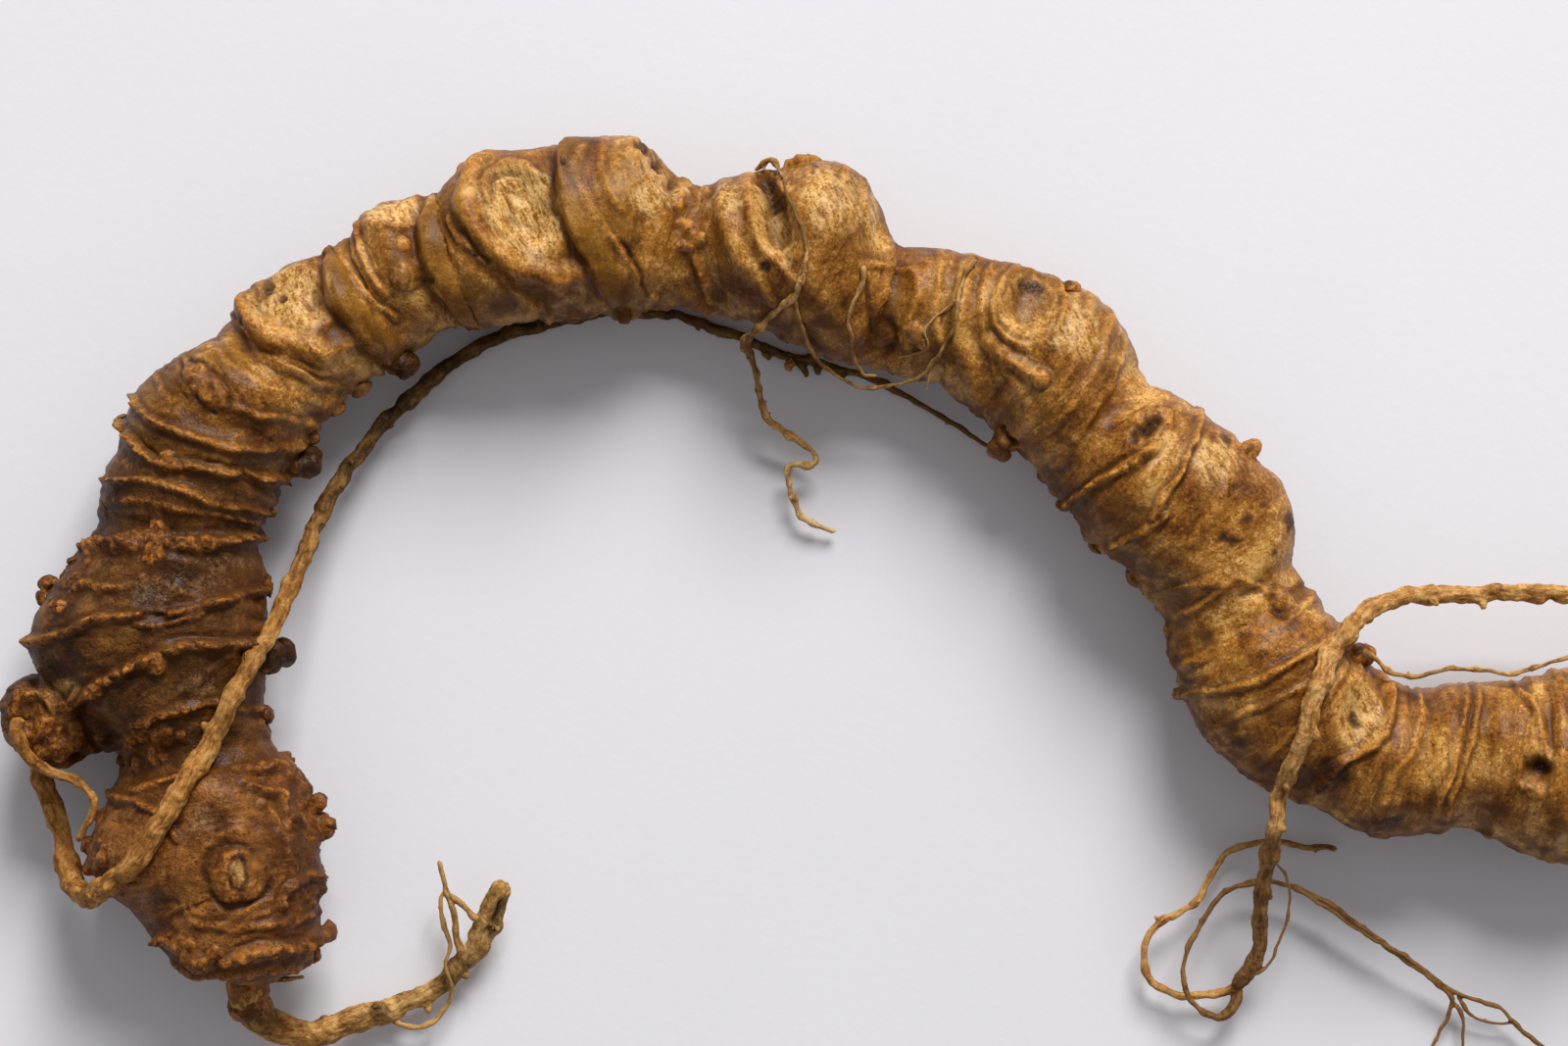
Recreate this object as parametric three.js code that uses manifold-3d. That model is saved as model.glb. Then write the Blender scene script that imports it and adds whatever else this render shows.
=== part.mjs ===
// A ginseng root as dug and dried, lying on a flat surface: a knobbly rhizome bent into an arch, and the
// thin roots that grow from it. Millimetres, +Z up. The origin is at the middle of the object's footprint,
// on the surface that it lies on; +X runs along the length of the root, from the old end to the young end.
import * as THREE from "three";
import Module from "manifold-3d";
import { mergeVertices } from "three/addons/utils/BufferGeometryUtils.js";

// ---------------------------------------------------------------- driving dimensions
const RHIZOME_SIDES = 24; // corners of each section of the rhizome
const FURROW = 0.045; // how much narrower the rhizome is midway between two of its sections
const ROUND_HEIGHT = 0.9; // height of a section as a share of its width, up to FULL_HALF_WIDTH
const FULL_HALF_WIDTH = 9;
const WIDE_HEIGHT = 0.4; // and the share that what is wider than that adds
const GAP = 0.3; // clearance between a root and the rhizome that it grows from
const ROOT_STEP = 2.2; // distance between the sections of a thin root
const MOST_ROOT_RINGS = 110;
const END_ROUND = 0.6; // length of a thin root's rounded end, in radii
const RHIZOME_END_ROUND = 5; // length of the rhizome's rounded ends
const SLIVER = 0.15; // faces thinner than this are closed up
const STEEPEST = 0.35; // on slopes steeper than this (upward share of the face's normal) a root hangs

// Sections of the rhizome from the old end to the young end: a point on the outer edge of the arch, the
// point across from it on the inner edge, and the height of the underside. Where the underside is below
// zero the rhizome stands, and is worn flat.
const SECTIONS = [
  [-73.5, -37.6, -64.0, -38.0, 2.6],
  [-76.5, -36.2, -62.6, -36.8, 1.2],
  [-80.0, -33.0, -62.0, -33.5, 0.4],
  [-83.8, -29.5, -62.2, -29.8, -0.7],
  [-86.0, -25.8, -62.0, -26.2, -1.0],
  [-85.0, -22.0, -62.0, -22.3, -0.7],
  [-83.2, -18.5, -64.2, -18.0, 0.5],
  [-83.0, -15.0, -67.0, -14.0, 1.2],
  [-85.2, -11.5, -68.4, -10.0, 1.0],
  [-90.4, -7.4, -68.0, -6.5, 0.4],
  [-91.8, -3.9, -67.4, -2.5, -0.2],
  [-90.6, 0.0, -68.0, 2.0, 0.2],
  [-87.6, 3.5, -68.4, 5.0, 0.6],
  [-85.2, 7.0, -68.0, 7.5, 1.0],
  [-84.8, 11.0, -66.9, 9.6, 0.9],
  [-83.8, 14.5, -65.6, 12.7, 0.8],
  [-82.6, 18.2, -63.8, 15.8, 0.8],
  [-80.8, 22.2, -62.4, 18.2, 0.6],
  [-77.3, 24.6, -60.6, 19.9, 0.8],
  [-73.8, 26.7, -59.3, 21.3, 1.1],
  [-71.3, 30.0, -57.6, 22.6, 0.8],
  [-68.4, 32.7, -55.8, 23.6, 0.6],
  [-64.8, 35.1, -53.9, 25.2, 0.6],
  [-61.6, 36.0, -52.2, 26.2, 0.8],
  [-59.0, 38.6, -50.5, 27.1, 0.6],
  [-56.4, 41.2, -48.6, 27.8, 0.4],
  [-52.6, 42.0, -46.6, 28.2, 0.5],
  [-50.2, 41.8, -44.8, 28.3, 0.6],
  [-47.0, 45.0, -42.5, 28.5, 0.2],
  [-43.0, 46.4, -39.5, 28.8, -0.3],
  [-38.0, 47.0, -36.5, 29.0, -0.9],
  [-33.2, 47.8, -33.2, 29.4, -0.9],
  [-29.2, 46.8, -30.0, 30.1, -0.2],
  [-25.6, 43.8, -27.0, 30.2, 0.9],
  [-23.0, 42.9, -24.0, 29.6, 1.1],
  [-18.8, 44.2, -20.0, 28.8, 0.6],
  [-14.0, 44.7, -16.5, 27.4, 0.3],
  [-9.4, 45.0, -13.0, 25.6, 0.0],
  [-6.2, 41.4, -9.5, 24.6, 0.5],
  [-4.0, 37.0, -6.5, 23.9, 1.3],
  [0.0, 36.5, -3.0, 23.2, 1.2],
  [3.4, 35.8, 0.5, 22.2, 1.0],
  [8.4, 34.8, 3.5, 20.3, 0.6],
  [13.4, 32.9, 6.6, 17.6, -0.4],
  [17.8, 30.6, 10.0, 14.2, -0.9],
  [20.3, 26.8, 12.5, 11.2, -0.5],
  [21.8, 22.8, 14.6, 8.7, 0.8],
  [25.4, 21.3, 16.7, 5.9, 0.4],
  [30.4, 17.6, 19.2, 4.0, 0.4],
  [33.9, 14.2, 21.2, 1.7, 0.2],
  [36.6, 9.3, 23.3, -0.9, 0.5],
  [36.9, 4.4, 24.3, -3.7, 1.1],
  [39.4, 0.6, 24.8, -7.2, 0.9],
  [42.0, -2.8, 26.4, -11.6, 0.5],
  [44.4, -5.7, 29.2, -15.2, 0.3],
  [46.5, -7.5, 33.2, -18.8, 0.3],
  [49.0, -8.5, 39.2, -21.2, 0.5],
  [51.2, -8.5, 44.5, -23.6, 0.3],
  [54.0, -7.8, 49.4, -23.8, 0.4],
  [58.0, -7.9, 54.0, -23.0, 0.8],
  [61.0, -7.6, 58.7, -25.0, -0.3],
  [65.0, -6.4, 63.6, -26.8, -0.9],
  [69.6, -6.0, 69.2, -26.0, -0.8],
  [73.6, -8.0, 73.8, -23.4, 0.6],
  [78.2, -6.4, 77.8, -22.4, 0.5],
  [83.4, -4.6, 82.0, -20.6, 0.1],
  [89.2, -5.2, 88.0, -18.4, 0.5],
  [94.9, -8.0, 94.6, -15.2, 2.2],
];

// Scars that the yearly stems left along the back of the rhizome: x and y of the middle, radius and depth.
const STEM_SCARS = [
  [-63.6, 29.6, 5.6, 1.5],
  [-40.6, 40.0, 6.4, 1.9],
  [-26.4, 41.8, 4.4, 1.2],
  [-16.6, 39.6, 4.6, 1.6],
  [9.8, 29.2, 4.9, 1.5],
  [43.2, -11.4, 3.8, 1.0],
  [73.4, -12.5, 4.6, 1.4],
];

// The short side branch at the old end of the rhizome: middle, half lengths along X, Y and Z, and turn.
const SIDE_BRANCH = { middle: [-86.6, -11.6, 7.4], half: [8.2, 4.8, 4.9], turn: 0.1, sides: 20, rings: 14 };

// Knuckles where larger roots have broken off: x, y, z and radius.
const KNUCKLES = [
  [-67.2, -5.4, 8.0, 2.6],
  [-64.8, 13.8, 8.4, 2.4],
  [-56.0, 25.0, 7.6, 2.5],
  [-33.2, 31.0, 7.4, 2.4],
  [8.6, 17.4, 7.4, 2.7],
  [43.0, -6.2, 9.6, 2.6],
  [31.8, 15.0, 9.2, 2.4],
];

// The thin roots, each a run of points [x, y, z, radius] from where it grows out of its parent to its tip.
// A point whose height is ON_TOP lies on the back of the rhizome there.
const ON_TOP = null;
const ROOTS = {
  long_root: [
    [
      [-89.6, -13.4, 5.2, 1.5],
      [-91.4, -17.6, 4.6, 1.35],
      [-90.3, -21.0, 4.4, 1.4],
      [-89.0, -25.0, 5.4, 1.3],
      [-87.9, -28.0, 7.6, 1.3],
      [-85.9, -29.6, 10.6, 1.3],
      [-83.3, -28.6, ON_TOP, 1.35],
      [-80.2, -26.2, ON_TOP, 1.35],
      [-77.4, -22.3, ON_TOP, 1.3],
      [-74.9, -18.2, ON_TOP, 1.3],
      [-72.4, -13.6, ON_TOP, 1.3],
      [-70.4, -9.8, 15.6, 1.25],
      [-68.5, -5.8, 13.6, 1.25],
      [-66.4, -1.8, 10.6, 1.2],
      [-64.9, 2.4, 8.8, 1.15],
      [-63.4, 6.6, 6.8, 1.1],
      [-61.6, 10.8, 5.2, 1.05],
      [-59.2, 14.8, 4.4, 1.0],
      [-56.3, 18.6, 3.2, 0.95],
      [-52.9, 21.6, 2.5, 0.95],
      [-49.6, 24.2, 2.0, 0.9],
      [-46.0, 26.9, 1.7, 0.85],
      [-42.0, 28.4, 1.5, 0.8],
      [-37.5, 29.3, 1.3, 0.75],
      [-33.5, 29.9, 1.2, 0.7],
      [-29.5, 29.7, 1.2, 0.65],
      [-26.0, 28.8, 1.2, 0.65],
      [-22.4, 27.8, 1.2, 0.6],
      [-19.0, 26.7, 1.3, 0.6],
      [-15.0, 25.4, 1.4, 0.55],
      [-10.0, 24.0, 1.4, 0.5],
      [-5.0, 22.5, 1.4, 0.42],
      [-1.0, 20.5, 1.5, 0.36],
      [3.0, 18.0, 2.0, 0.32],
      [6.0, 16.0, 2.6, 0.3],
    ],
  ],
  knob_rootlet: [
    [
      [-92.2, -11.4, 12.6, 0.75],
      [-92.3, -13.4, 12.4, 0.7],
      [-91.2, -15.6, 11.4, 0.6],
      [-89.4, -17.1, 10.6, 0.5],
      [-87.4, -18.0, 10.6, 0.45],
      [-85.6, -18.9, 11.4, 0.42],
      [-84.4, -20.2, 12.6, 0.4],
      [-84.9, -21.6, 12.6, 0.38],
      [-85.9, -22.8, 11.8, 0.36],
      [-86.6, -24.4, 10.6, 0.34],
    ],
  ],
  tail_root: [
    [
      [-69.0, -36.4, 8.0, 2.7],
      [-70.0, -39.2, 7.2, 2.3],
      [-69.4, -41.6, 6.2, 2.0],
      [-67.2, -43.8, 5.0, 1.6],
      [-64.0, -44.6, 3.8, 1.3],
      [-60.2, -43.9, 2.8, 1.2],
      [-56.4, -42.4, 2.2, 1.15],
      [-52.8, -40.9, 2.0, 1.05],
      [-49.8, -38.9, 2.2, 1.0],
      [-47.6, -36.6, 2.6, 1.0],
      [-46.2, -34.2, 3.2, 1.2],
      [-45.4, -31.6, 4.0, 1.25],
      [-44.2, -29.4, 4.8, 1.15],
      [-43.2, -28.6, 5.0, 1.0],
    ],
    [
      [-56.2, -42.3, 2.2, 0.45],
      [-55.2, -43.4, 2.4, 0.3],
      [-53.2, -44.0, 2.6, 0.28],
      [-51.2, -43.4, 2.6, 0.26],
      [-49.8, -41.6, 2.6, 0.25],
      [-49.3, -39.4, 4.0, 0.25],
      [-49.9, -37.4, 4.0, 0.25],
      [-49.5, -35.2, 3.4, 0.24],
      [-50.4, -32.6, 3.0, 0.24],
      [-50.4, -30.6, 2.8, 0.22],
      [-49.8, -30.0, 2.8, 0.2],
    ],
    [
      [-48.2, -37.2, 2.6, 0.5],
      [-48.7, -34.6, 4.0, 0.36],
      [-49.1, -31.4, 4.8, 0.32],
      [-49.8, -28.8, 5.4, 0.28],
      [-50.5, -26.5, 5.8, 0.24],
    ],
  ],
  draped_rootlet: [
    [
      [-18.0, 44.3, 9.4, 0.28],
      [-16.3, 45.3, 10.6, 0.34],
      [-15.2, 43.6, ON_TOP, 0.34],
      [-14.7, 41.2, ON_TOP, 0.34],
      [-13.6, 38.6, ON_TOP, 0.34],
      [-12.8, 36.0, ON_TOP, 0.36],
      [-12.9, 33.4, ON_TOP, 0.38],
      [-14.0, 30.8, ON_TOP, 0.42],
      [-16.2, 29.2, ON_TOP, 0.42],
      [-17.7, 27.6, 11.6, 0.46],
      [-18.9, 26.4, 9.4, 0.6],
      [-18.2, 24.6, 7.6, 0.42],
      [-17.6, 22.2, 6.2, 0.4],
      [-17.2, 20.0, 5.2, 0.38],
      [-16.2, 18.5, 4.4, 0.44],
      [-14.6, 17.3, 3.8, 0.36],
      [-12.8, 16.1, 3.4, 0.34],
      [-11.6, 14.8, 3.2, 0.34],
      [-12.4, 14.0, 3.2, 0.34],
      [-14.4, 13.9, 3.0, 0.34],
      [-14.4, 12.0, 2.6, 0.32],
      [-13.6, 9.4, 2.0, 0.32],
      [-12.0, 8.0, 1.6, 0.3],
      [-9.7, 7.3, 1.2, 0.26],
    ],
  ],
  garland_rootlet: [
    [
      [-11.4, 34.4, ON_TOP, 0.22],
      [-11.9, 32.2, ON_TOP, 0.24],
      [-12.8, 30.0, ON_TOP, 0.26],
      [-13.2, 27.9, ON_TOP, 0.26],
      [-12.2, 25.4, 11.4, 0.26],
      [-10.6, 23.8, 10.2, 0.25],
      [-8.8, 22.7, 9.4, 0.25],
      [-6.8, 21.9, 8.6, 0.25],
      [-4.4, 22.1, 8.8, 0.25],
      [-1.4, 22.6, 9.8, 0.26],
      [0.4, 24.6, ON_TOP, 0.27],
      [1.8, 27.4, ON_TOP, 0.28],
      [2.5, 30.2, ON_TOP, 0.3],
      [3.0, 32.8, ON_TOP, 0.36],
      [4.4, 34.8, ON_TOP, 0.42],
    ],
  ],
  short_rootlet: [
    [
      [-7.0, 34.0, ON_TOP, 0.34],
      [-7.1, 32.4, ON_TOP, 0.32],
      [-8.0, 30.4, ON_TOP, 0.3],
      [-8.5, 28.5, ON_TOP, 0.28],
      [-8.1, 26.2, ON_TOP, 0.27],
      [-7.6, 24.2, 10.8, 0.26],
      [-6.8, 23.0, 9.6, 0.25],
      [-5.4, 23.0, 9.4, 0.24],
    ],
  ],
  side_root: [
    [
      [85.6, -7.0, 12.6, 1.1],
      [84.2, -3.0, 14.0, 0.95],
      [80.0, 0.2, 13.4, 0.9],
      [73.0, 1.6, 11.6, 0.88],
      [66.0, 1.3, 10.2, 0.86],
      [60.0, 1.2, 9.6, 0.88],
      [54.0, 0.9, 9.8, 0.9],
      [49.0, 0.8, 11.0, 0.9],
      [45.0, -0.1, 13.2, 0.92],
      [42.2, -2.0, 15.0, 0.95],
      [40.0, -4.6, ON_TOP, 1.0],
      [38.4, -7.6, ON_TOP, 1.0],
      [37.3, -11.2, ON_TOP, 1.0],
      [36.4, -15.0, ON_TOP, 1.0],
      [35.6, -18.4, ON_TOP, 1.0],
      [35.0, -22.6, 13.6, 0.98],
      [34.5, -26.4, 10.6, 0.92],
      [34.1, -30.0, 8.0, 0.86],
      [34.1, -33.4, 5.8, 0.86],
      [33.8, -36.4, 4.4, 0.9],
      [32.6, -38.6, 3.4, 0.9],
      [31.6, -40.0, 2.8, 0.85],
    ],
    [
      [32.0, -39.6, 2.8, 0.7],
      [30.0, -40.6, 2.4, 0.6],
      [26.8, -40.9, 2.2, 0.5],
      [24.2, -40.1, 2.2, 0.46],
      [22.7, -38.9, 2.4, 0.44],
      [22.3, -36.8, 2.8, 0.42],
      [22.7, -34.6, 3.2, 0.42],
      [24.0, -32.9, 3.4, 0.42],
      [26.8, -31.5, 3.2, 0.42],
      [28.2, -30.0, 2.8, 0.44],
      [29.4, -27.8, 2.4, 0.42],
      [31.2, -25.8, 2.0, 0.38],
      [33.6, -25.1, 1.8, 0.36],
      [36.2, -24.8, 1.6, 0.34],
      [39.0, -25.6, 1.4, 0.36],
      [41.0, -25.3, 1.3, 0.36],
      [42.5, -25.6, 1.2, 0.32],
    ],
    [
      [31.8, -39.8, 2.8, 0.75],
      [31.5, -41.6, 2.8, 0.6],
      [30.0, -42.8, 3.0, 0.42],
      [28.0, -42.1, 3.8, 0.34],
      [26.5, -40.2, 4.4, 0.32],
      [26.1, -37.8, 4.6, 0.32],
      [27.0, -34.8, 4.4, 0.32],
      [28.8, -31.8, 4.0, 0.32],
      [30.8, -29.6, 3.8, 0.32],
      [33.4, -28.9, 4.0, 0.32],
      [36.4, -29.1, 4.2, 0.32],
      [40.0, -30.5, 4.2, 0.32],
      [44.0, -33.1, 4.0, 0.34],
      [48.0, -36.0, 3.6, 0.34],
      [51.4, -38.5, 3.0, 0.36],
      [54.0, -40.6, 2.4, 0.4],
      [54.0, -42.4, 1.8, 0.24],
      [53.2, -44.4, 1.2, 0.22],
      [51.6, -47.6, 0.8, 0.18],
    ],
    [
      [53.0, -39.6, 2.6, 0.3],
      [56.0, -41.0, 2.4, 0.24],
      [58.8, -41.8, 2.2, 0.22],
      [60.4, -43.4, 2.0, 0.22],
      [62.4, -45.2, 1.8, 0.3],
      [64.0, -46.4, 1.6, 0.22],
    ],
  ],
  edge_rootlet: [
    [
      [43.4, -4.6, 9.6, 0.32],
      [45.2, -5.9, 10.0, 0.26],
      [46.8, -7.1, 10.4, 0.24],
      [49.0, -7.4, 10.6, 0.23],
      [52.4, -6.6, 10.6, 0.22],
      [56.0, -6.8, 10.6, 0.22],
      [58.6, -7.1, 10.8, 0.22],
      [62.0, -6.2, 11.4, 0.21],
      [66.0, -5.0, 12.0, 0.2],
      [70.6, -4.2, 12.4, 0.18],
    ],
  ],
};

// ---------------------------------------------------------------- materials
const bark = new THREE.MeshStandardMaterial({ color: 0x7a4a20, roughness: 0.55, metalness: 0 });
const rootSkin = new THREE.MeshStandardMaterial({ color: 0x8a5f30, roughness: 0.75, metalness: 0 });

// ---------------------------------------------------------------- helpers
const wasm = await Module();
wasm.setup();

// A closed geometry as a manifold-3d solid.
function solidOf(geometry) {
  const bare = geometry.clone();
  bare.deleteAttribute("normal");
  bare.deleteAttribute("uv");
  const merged = mergeVertices(bare, 1e-4);
  return new wasm.Manifold(
    new wasm.Mesh({
      numProp: 3,
      vertProperties: new Float32Array(merged.attributes.position.array),
      triVerts: new Uint32Array(merged.index.array),
    }),
  );
}

// A manifold-3d solid as a geometry, with the slivers that cuts leave closed up.
function geometryOf(solid) {
  const mesh = solid.getMesh();
  const corners = Array.from({ length: mesh.numVert }, (_, i) => {
    return new THREE.Vector3().fromArray(mesh.vertProperties, 3 * i);
  });
  let faces = Array.from({ length: mesh.numTri }, (_, i) => [...mesh.triVerts.slice(3 * i, 3 * i + 3)]);
  for (let left = -1; left !== faces.length; ) {
    left = faces.length;
    faces = closeShortEdges(corners, faces);
  }
  const geometry = new THREE.BufferGeometry().setFromPoints(corners);
  geometry.setIndex(faces.flat());
  geometry.deleteAttribute("normal");
  const packed = mergeVertices(geometry.toNonIndexed(), 1e-4);
  packed.computeVertexNormals();
  return packed;
}

// Draws the two ends of each edge shorter than SLIVER together, where that leaves the surface whole.
function closeShortEdges(corners, faces) {
  const near = corners.map(() => new Set());
  for (const [a, b, c] of faces) {
    near[a].add(b).add(c);
    near[b].add(a).add(c);
    near[c].add(a).add(b);
  }
  const moved = new Map();
  const settled = new Set();
  for (const face of faces) {
    for (let side = 0; side < 3; side++) {
      const from = face[side];
      const to = face[(side + 1) % 3];
      if (corners[from].distanceTo(corners[to]) > SLIVER) continue;
      const around = new Set([...near[from], ...near[to]]);
      const shared = [...near[from]].filter((i) => near[to].has(i));
      if (shared.length !== 2 || [...around].some((i) => settled.has(i))) continue;
      corners[to].lerp(corners[from], 0.5);
      moved.set(from, to);
      around.forEach((i) => settled.add(i));
    }
  }
  const renamed = faces.map((face) => face.map((i) => moved.get(i) ?? i));
  return renamed.filter(([a, b, c]) => a !== b && b !== c && c !== a);
}

// The largest of the separate bodies that a cut leaves.
function largestOf(solid) {
  return solid.decompose().sort((a, b) => b.volume() - a.volume())[0];
}

// A value at share t, from 0 to 1, of a list of evenly counted values.
function along(values, t) {
  const place = t * (values.length - 1);
  const before = Math.min(Math.floor(place), values.length - 2);
  return THREE.MathUtils.lerp(values[before], values[before + 1], place - before);
}

// A closed round body along a curve through the sections' middles: a sphere whose rings are laid along it.
// places holds where each ring goes, from 0 at the first section to 1 at the last. endRound is the length
// over which the two ends close, and shape moves a ring's middle and gives back how full the ring is.
function bodyAlong(curve, sections, places, sides, endRound, shape) {
  const widths = sections.map((s) => s.halfWidth);
  const heights = sections.map((s) => s.halfHeight);
  const ends = [curve.getPoint(0), curve.getPoint(1)];
  const body = new THREE.SphereGeometry(1, sides, places.length - 1);
  const position = body.attributes.position;
  const point = new THREE.Vector3();
  const up = new THREE.Vector3();
  const side = new THREE.Vector3();
  places.forEach((t, ring) => {
    const middle = curve.getPoint(t);
    const forward = curve.getTangent(t);
    side.crossVectors(forward, new THREE.Vector3(0, 0, 1)).normalize();
    up.crossVectors(side, forward).normalize();
    const toEnd = t > 0 && t < 1 ? Math.min(...ends.map((end) => end.distanceTo(middle))) : 0;
    const open = Math.min(1, toEnd / endRound);
    const fullness = Math.sqrt(1 - (1 - open) ** 2) * shape(middle, t, along(heights, t));
    const halfWidth = along(widths, t) * fullness;
    const halfHeight = along(heights, t) * fullness;
    for (let corner = 0; corner <= sides; corner++) {
      const turn = (corner / sides) * 2 * Math.PI;
      point.copy(middle);
      point.addScaledVector(side, Math.cos(turn) * halfWidth);
      point.addScaledVector(up, Math.sin(turn) * halfHeight);
      position.setXYZ(ring * (sides + 1) + corner, point.x, point.y, point.z);
    }
  });
  return body;
}

// ---------------------------------------------------------------- the rhizome
function rhizomeSections() {
  return SECTIONS.map(([outerX, outerY, innerX, innerY, underside]) => {
    const halfWidth = Math.hypot(outerX - innerX, outerY - innerY) / 2;
    const halfHeight =
      ROUND_HEIGHT * Math.min(halfWidth, FULL_HALF_WIDTH) + WIDE_HEIGHT * Math.max(0, halfWidth - FULL_HALF_WIDTH);
    const middle = new THREE.Vector3((outerX + innerX) / 2, (outerY + innerY) / 2, underside + halfHeight);
    return { middle, halfWidth, halfHeight };
  });
}

// Presses a round hollow into the top of a body: each corner near the scar's middle goes down.
function pressScar(body, [x, y, radius, depth]) {
  const position = body.attributes.position;
  let top = -Infinity;
  for (let i = 0; i < position.count; i++) {
    const near = Math.hypot(position.getX(i) - x, position.getY(i) - y) < radius / 2;
    if (near) top = Math.max(top, position.getZ(i));
  }
  for (let i = 0; i < position.count; i++) {
    const away = Math.hypot(position.getX(i) - x, position.getY(i) - y, (position.getZ(i) - top) / 2) / radius;
    if (away < 1) position.setZ(i, position.getZ(i) - depth * (1 - away ** 2));
  }
}

// Pushes the corners of a body that are inside a knuckle's ball out to the ball's surface.
function raiseKnuckle(body, [x, y, z, radius]) {
  const position = body.attributes.position;
  const middle = new THREE.Vector3(x, y, z);
  const corner = new THREE.Vector3();
  for (let i = 0; i < position.count; i++) {
    corner.fromBufferAttribute(position, i).sub(middle);
    if (corner.length() < radius) corner.setLength(radius).add(middle).toArray(position.array, 3 * i);
  }
}

// Flattens whatever of a body would reach below the surface that it lies on.
function wearFlat(body) {
  const position = body.attributes.position;
  for (let i = 0; i < position.count; i++) position.setZ(i, Math.max(0, position.getZ(i)));
}

function makeRhizome() {
  const sections = rhizomeSections();
  const curve = new THREE.CatmullRomCurve3(sections.map((s) => s.middle));
  const steps = 2 * (sections.length - 1);
  const places = Array.from({ length: steps + 1 }, (_, k) => k / steps);
  const furrowed = (middle, t) => 1 - FURROW * (Math.round(t * steps) % 2);
  const body = bodyAlong(curve, sections, places, RHIZOME_SIDES, RHIZOME_END_ROUND, furrowed);
  STEM_SCARS.forEach((scar) => pressScar(body, scar));
  KNUCKLES.forEach((knuckle) => raiseKnuckle(body, knuckle));
  wearFlat(body);
  const branch = new THREE.SphereGeometry(1, SIDE_BRANCH.sides, SIDE_BRANCH.rings);
  branch.scale(...SIDE_BRANCH.half).rotateZ(SIDE_BRANCH.turn).translate(...SIDE_BRANCH.middle);
  return largestOf(solidOf(body).add(solidOf(branch)));
}

// ---------------------------------------------------------------- the thin roots
// Finds the top of a body above or below a place, and how far a root of that radius stands off it there.
function topFinder(geometry) {
  const mesh = new THREE.Mesh(geometry, new THREE.MeshBasicMaterial({ side: THREE.DoubleSide }));
  const caster = new THREE.Raycaster();
  return (x, y, radius) => {
    caster.set(new THREE.Vector3(x, y, 100), new THREE.Vector3(0, 0, -1));
    const hit = caster.intersectObject(mesh)[0];
    return hit ? hit.point.z + radius / Math.max(STEEPEST, hit.face.normal.z) : 0;
  };
}

function tubeAlong(points, restAt) {
  const sections = points.map(([x, y, z, radius]) => ({
    middle: new THREE.Vector3(x, y, z === ON_TOP ? restAt(x, y, radius) : z),
    halfWidth: radius,
    halfHeight: radius,
  }));
  const liesOnTop = points.map((p) => p[2] === ON_TOP);
  const lifted = (middle, t, radius) => {
    const before = Math.floor(t * (points.length - 1));
    if (liesOnTop[before] || liesOnTop[before + 1]) {
      middle.z = Math.max(middle.z, restAt(middle.x, middle.y, radius));
    }
    return 1;
  };
  const curve = new THREE.CatmullRomCurve3(sections.map((s) => s.middle));
  const steps = Math.min(MOST_ROOT_RINGS, Math.ceil(curve.getLength() / ROOT_STEP));
  const places = Array.from({ length: steps + 1 }, (_, k) => curve.getUtoTmapping(k / steps));
  const thickest = Math.max(...points.map((p) => p[3]));
  const sides = thickest > 0.8 ? 8 : 6;
  return bodyAlong(curve, sections, places, sides, thickest * END_ROUND, lifted);
}

// A root and its branches as one solid, cut back by GAP from what it grows from or lies on.
function makeRoot(runs, swollenRhizome, restAt) {
  let solid = solidOf(tubeAlong(runs[0], restAt));
  for (const run of runs.slice(1)) solid = solid.add(solidOf(tubeAlong(run, restAt)));
  return largestOf(solid.subtract(swollenRhizome));
}

// The rhizome with every face moved out by GAP, which cuts the roots back.
function swell(geometry) {
  const smooth = geometry.clone();
  smooth.computeVertexNormals();
  const position = smooth.attributes.position;
  const normal = smooth.attributes.normal;
  for (let i = 0; i < position.count; i++) {
    position.setXYZ(
      i,
      position.getX(i) + normal.getX(i) * GAP * 1.3,
      position.getY(i) + normal.getY(i) * GAP * 1.3,
      position.getZ(i) + normal.getZ(i) * GAP * 1.3,
    );
  }
  return smooth;
}

// ---------------------------------------------------------------- the object
const ginseng = new THREE.Group();
ginseng.name = "ginseng_root";

function addPiece(name, geometry, material) {
  const mesh = new THREE.Mesh(geometry, material);
  mesh.name = name;
  ginseng.add(mesh);
}

const rhizome = makeRhizome();
const rhizomeGeometry = geometryOf(rhizome);
addPiece("rhizome", rhizomeGeometry, bark);

const swollen = swell(rhizomeGeometry);
const swollenSolid = solidOf(swollen);
const restAt = topFinder(swollen);
for (const [name, runs] of Object.entries(ROOTS)) {
  addPiece(name, geometryOf(makeRoot(runs, swollenSolid, restAt)), rootSkin);
}

export default ginseng;
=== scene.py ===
"""A dried ginseng root on pale paper: a ringed, knobbly rhizome bent into an arch, and the thin roots on it."""
import logging
import math
from dataclasses import dataclass, field
from enum import Enum
from typing import Optional, Sequence

import bpy
import numpy as np
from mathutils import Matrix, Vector
from mathutils.bvhtree import BVHTree
from mathutils.kdtree import KDTree


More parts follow.
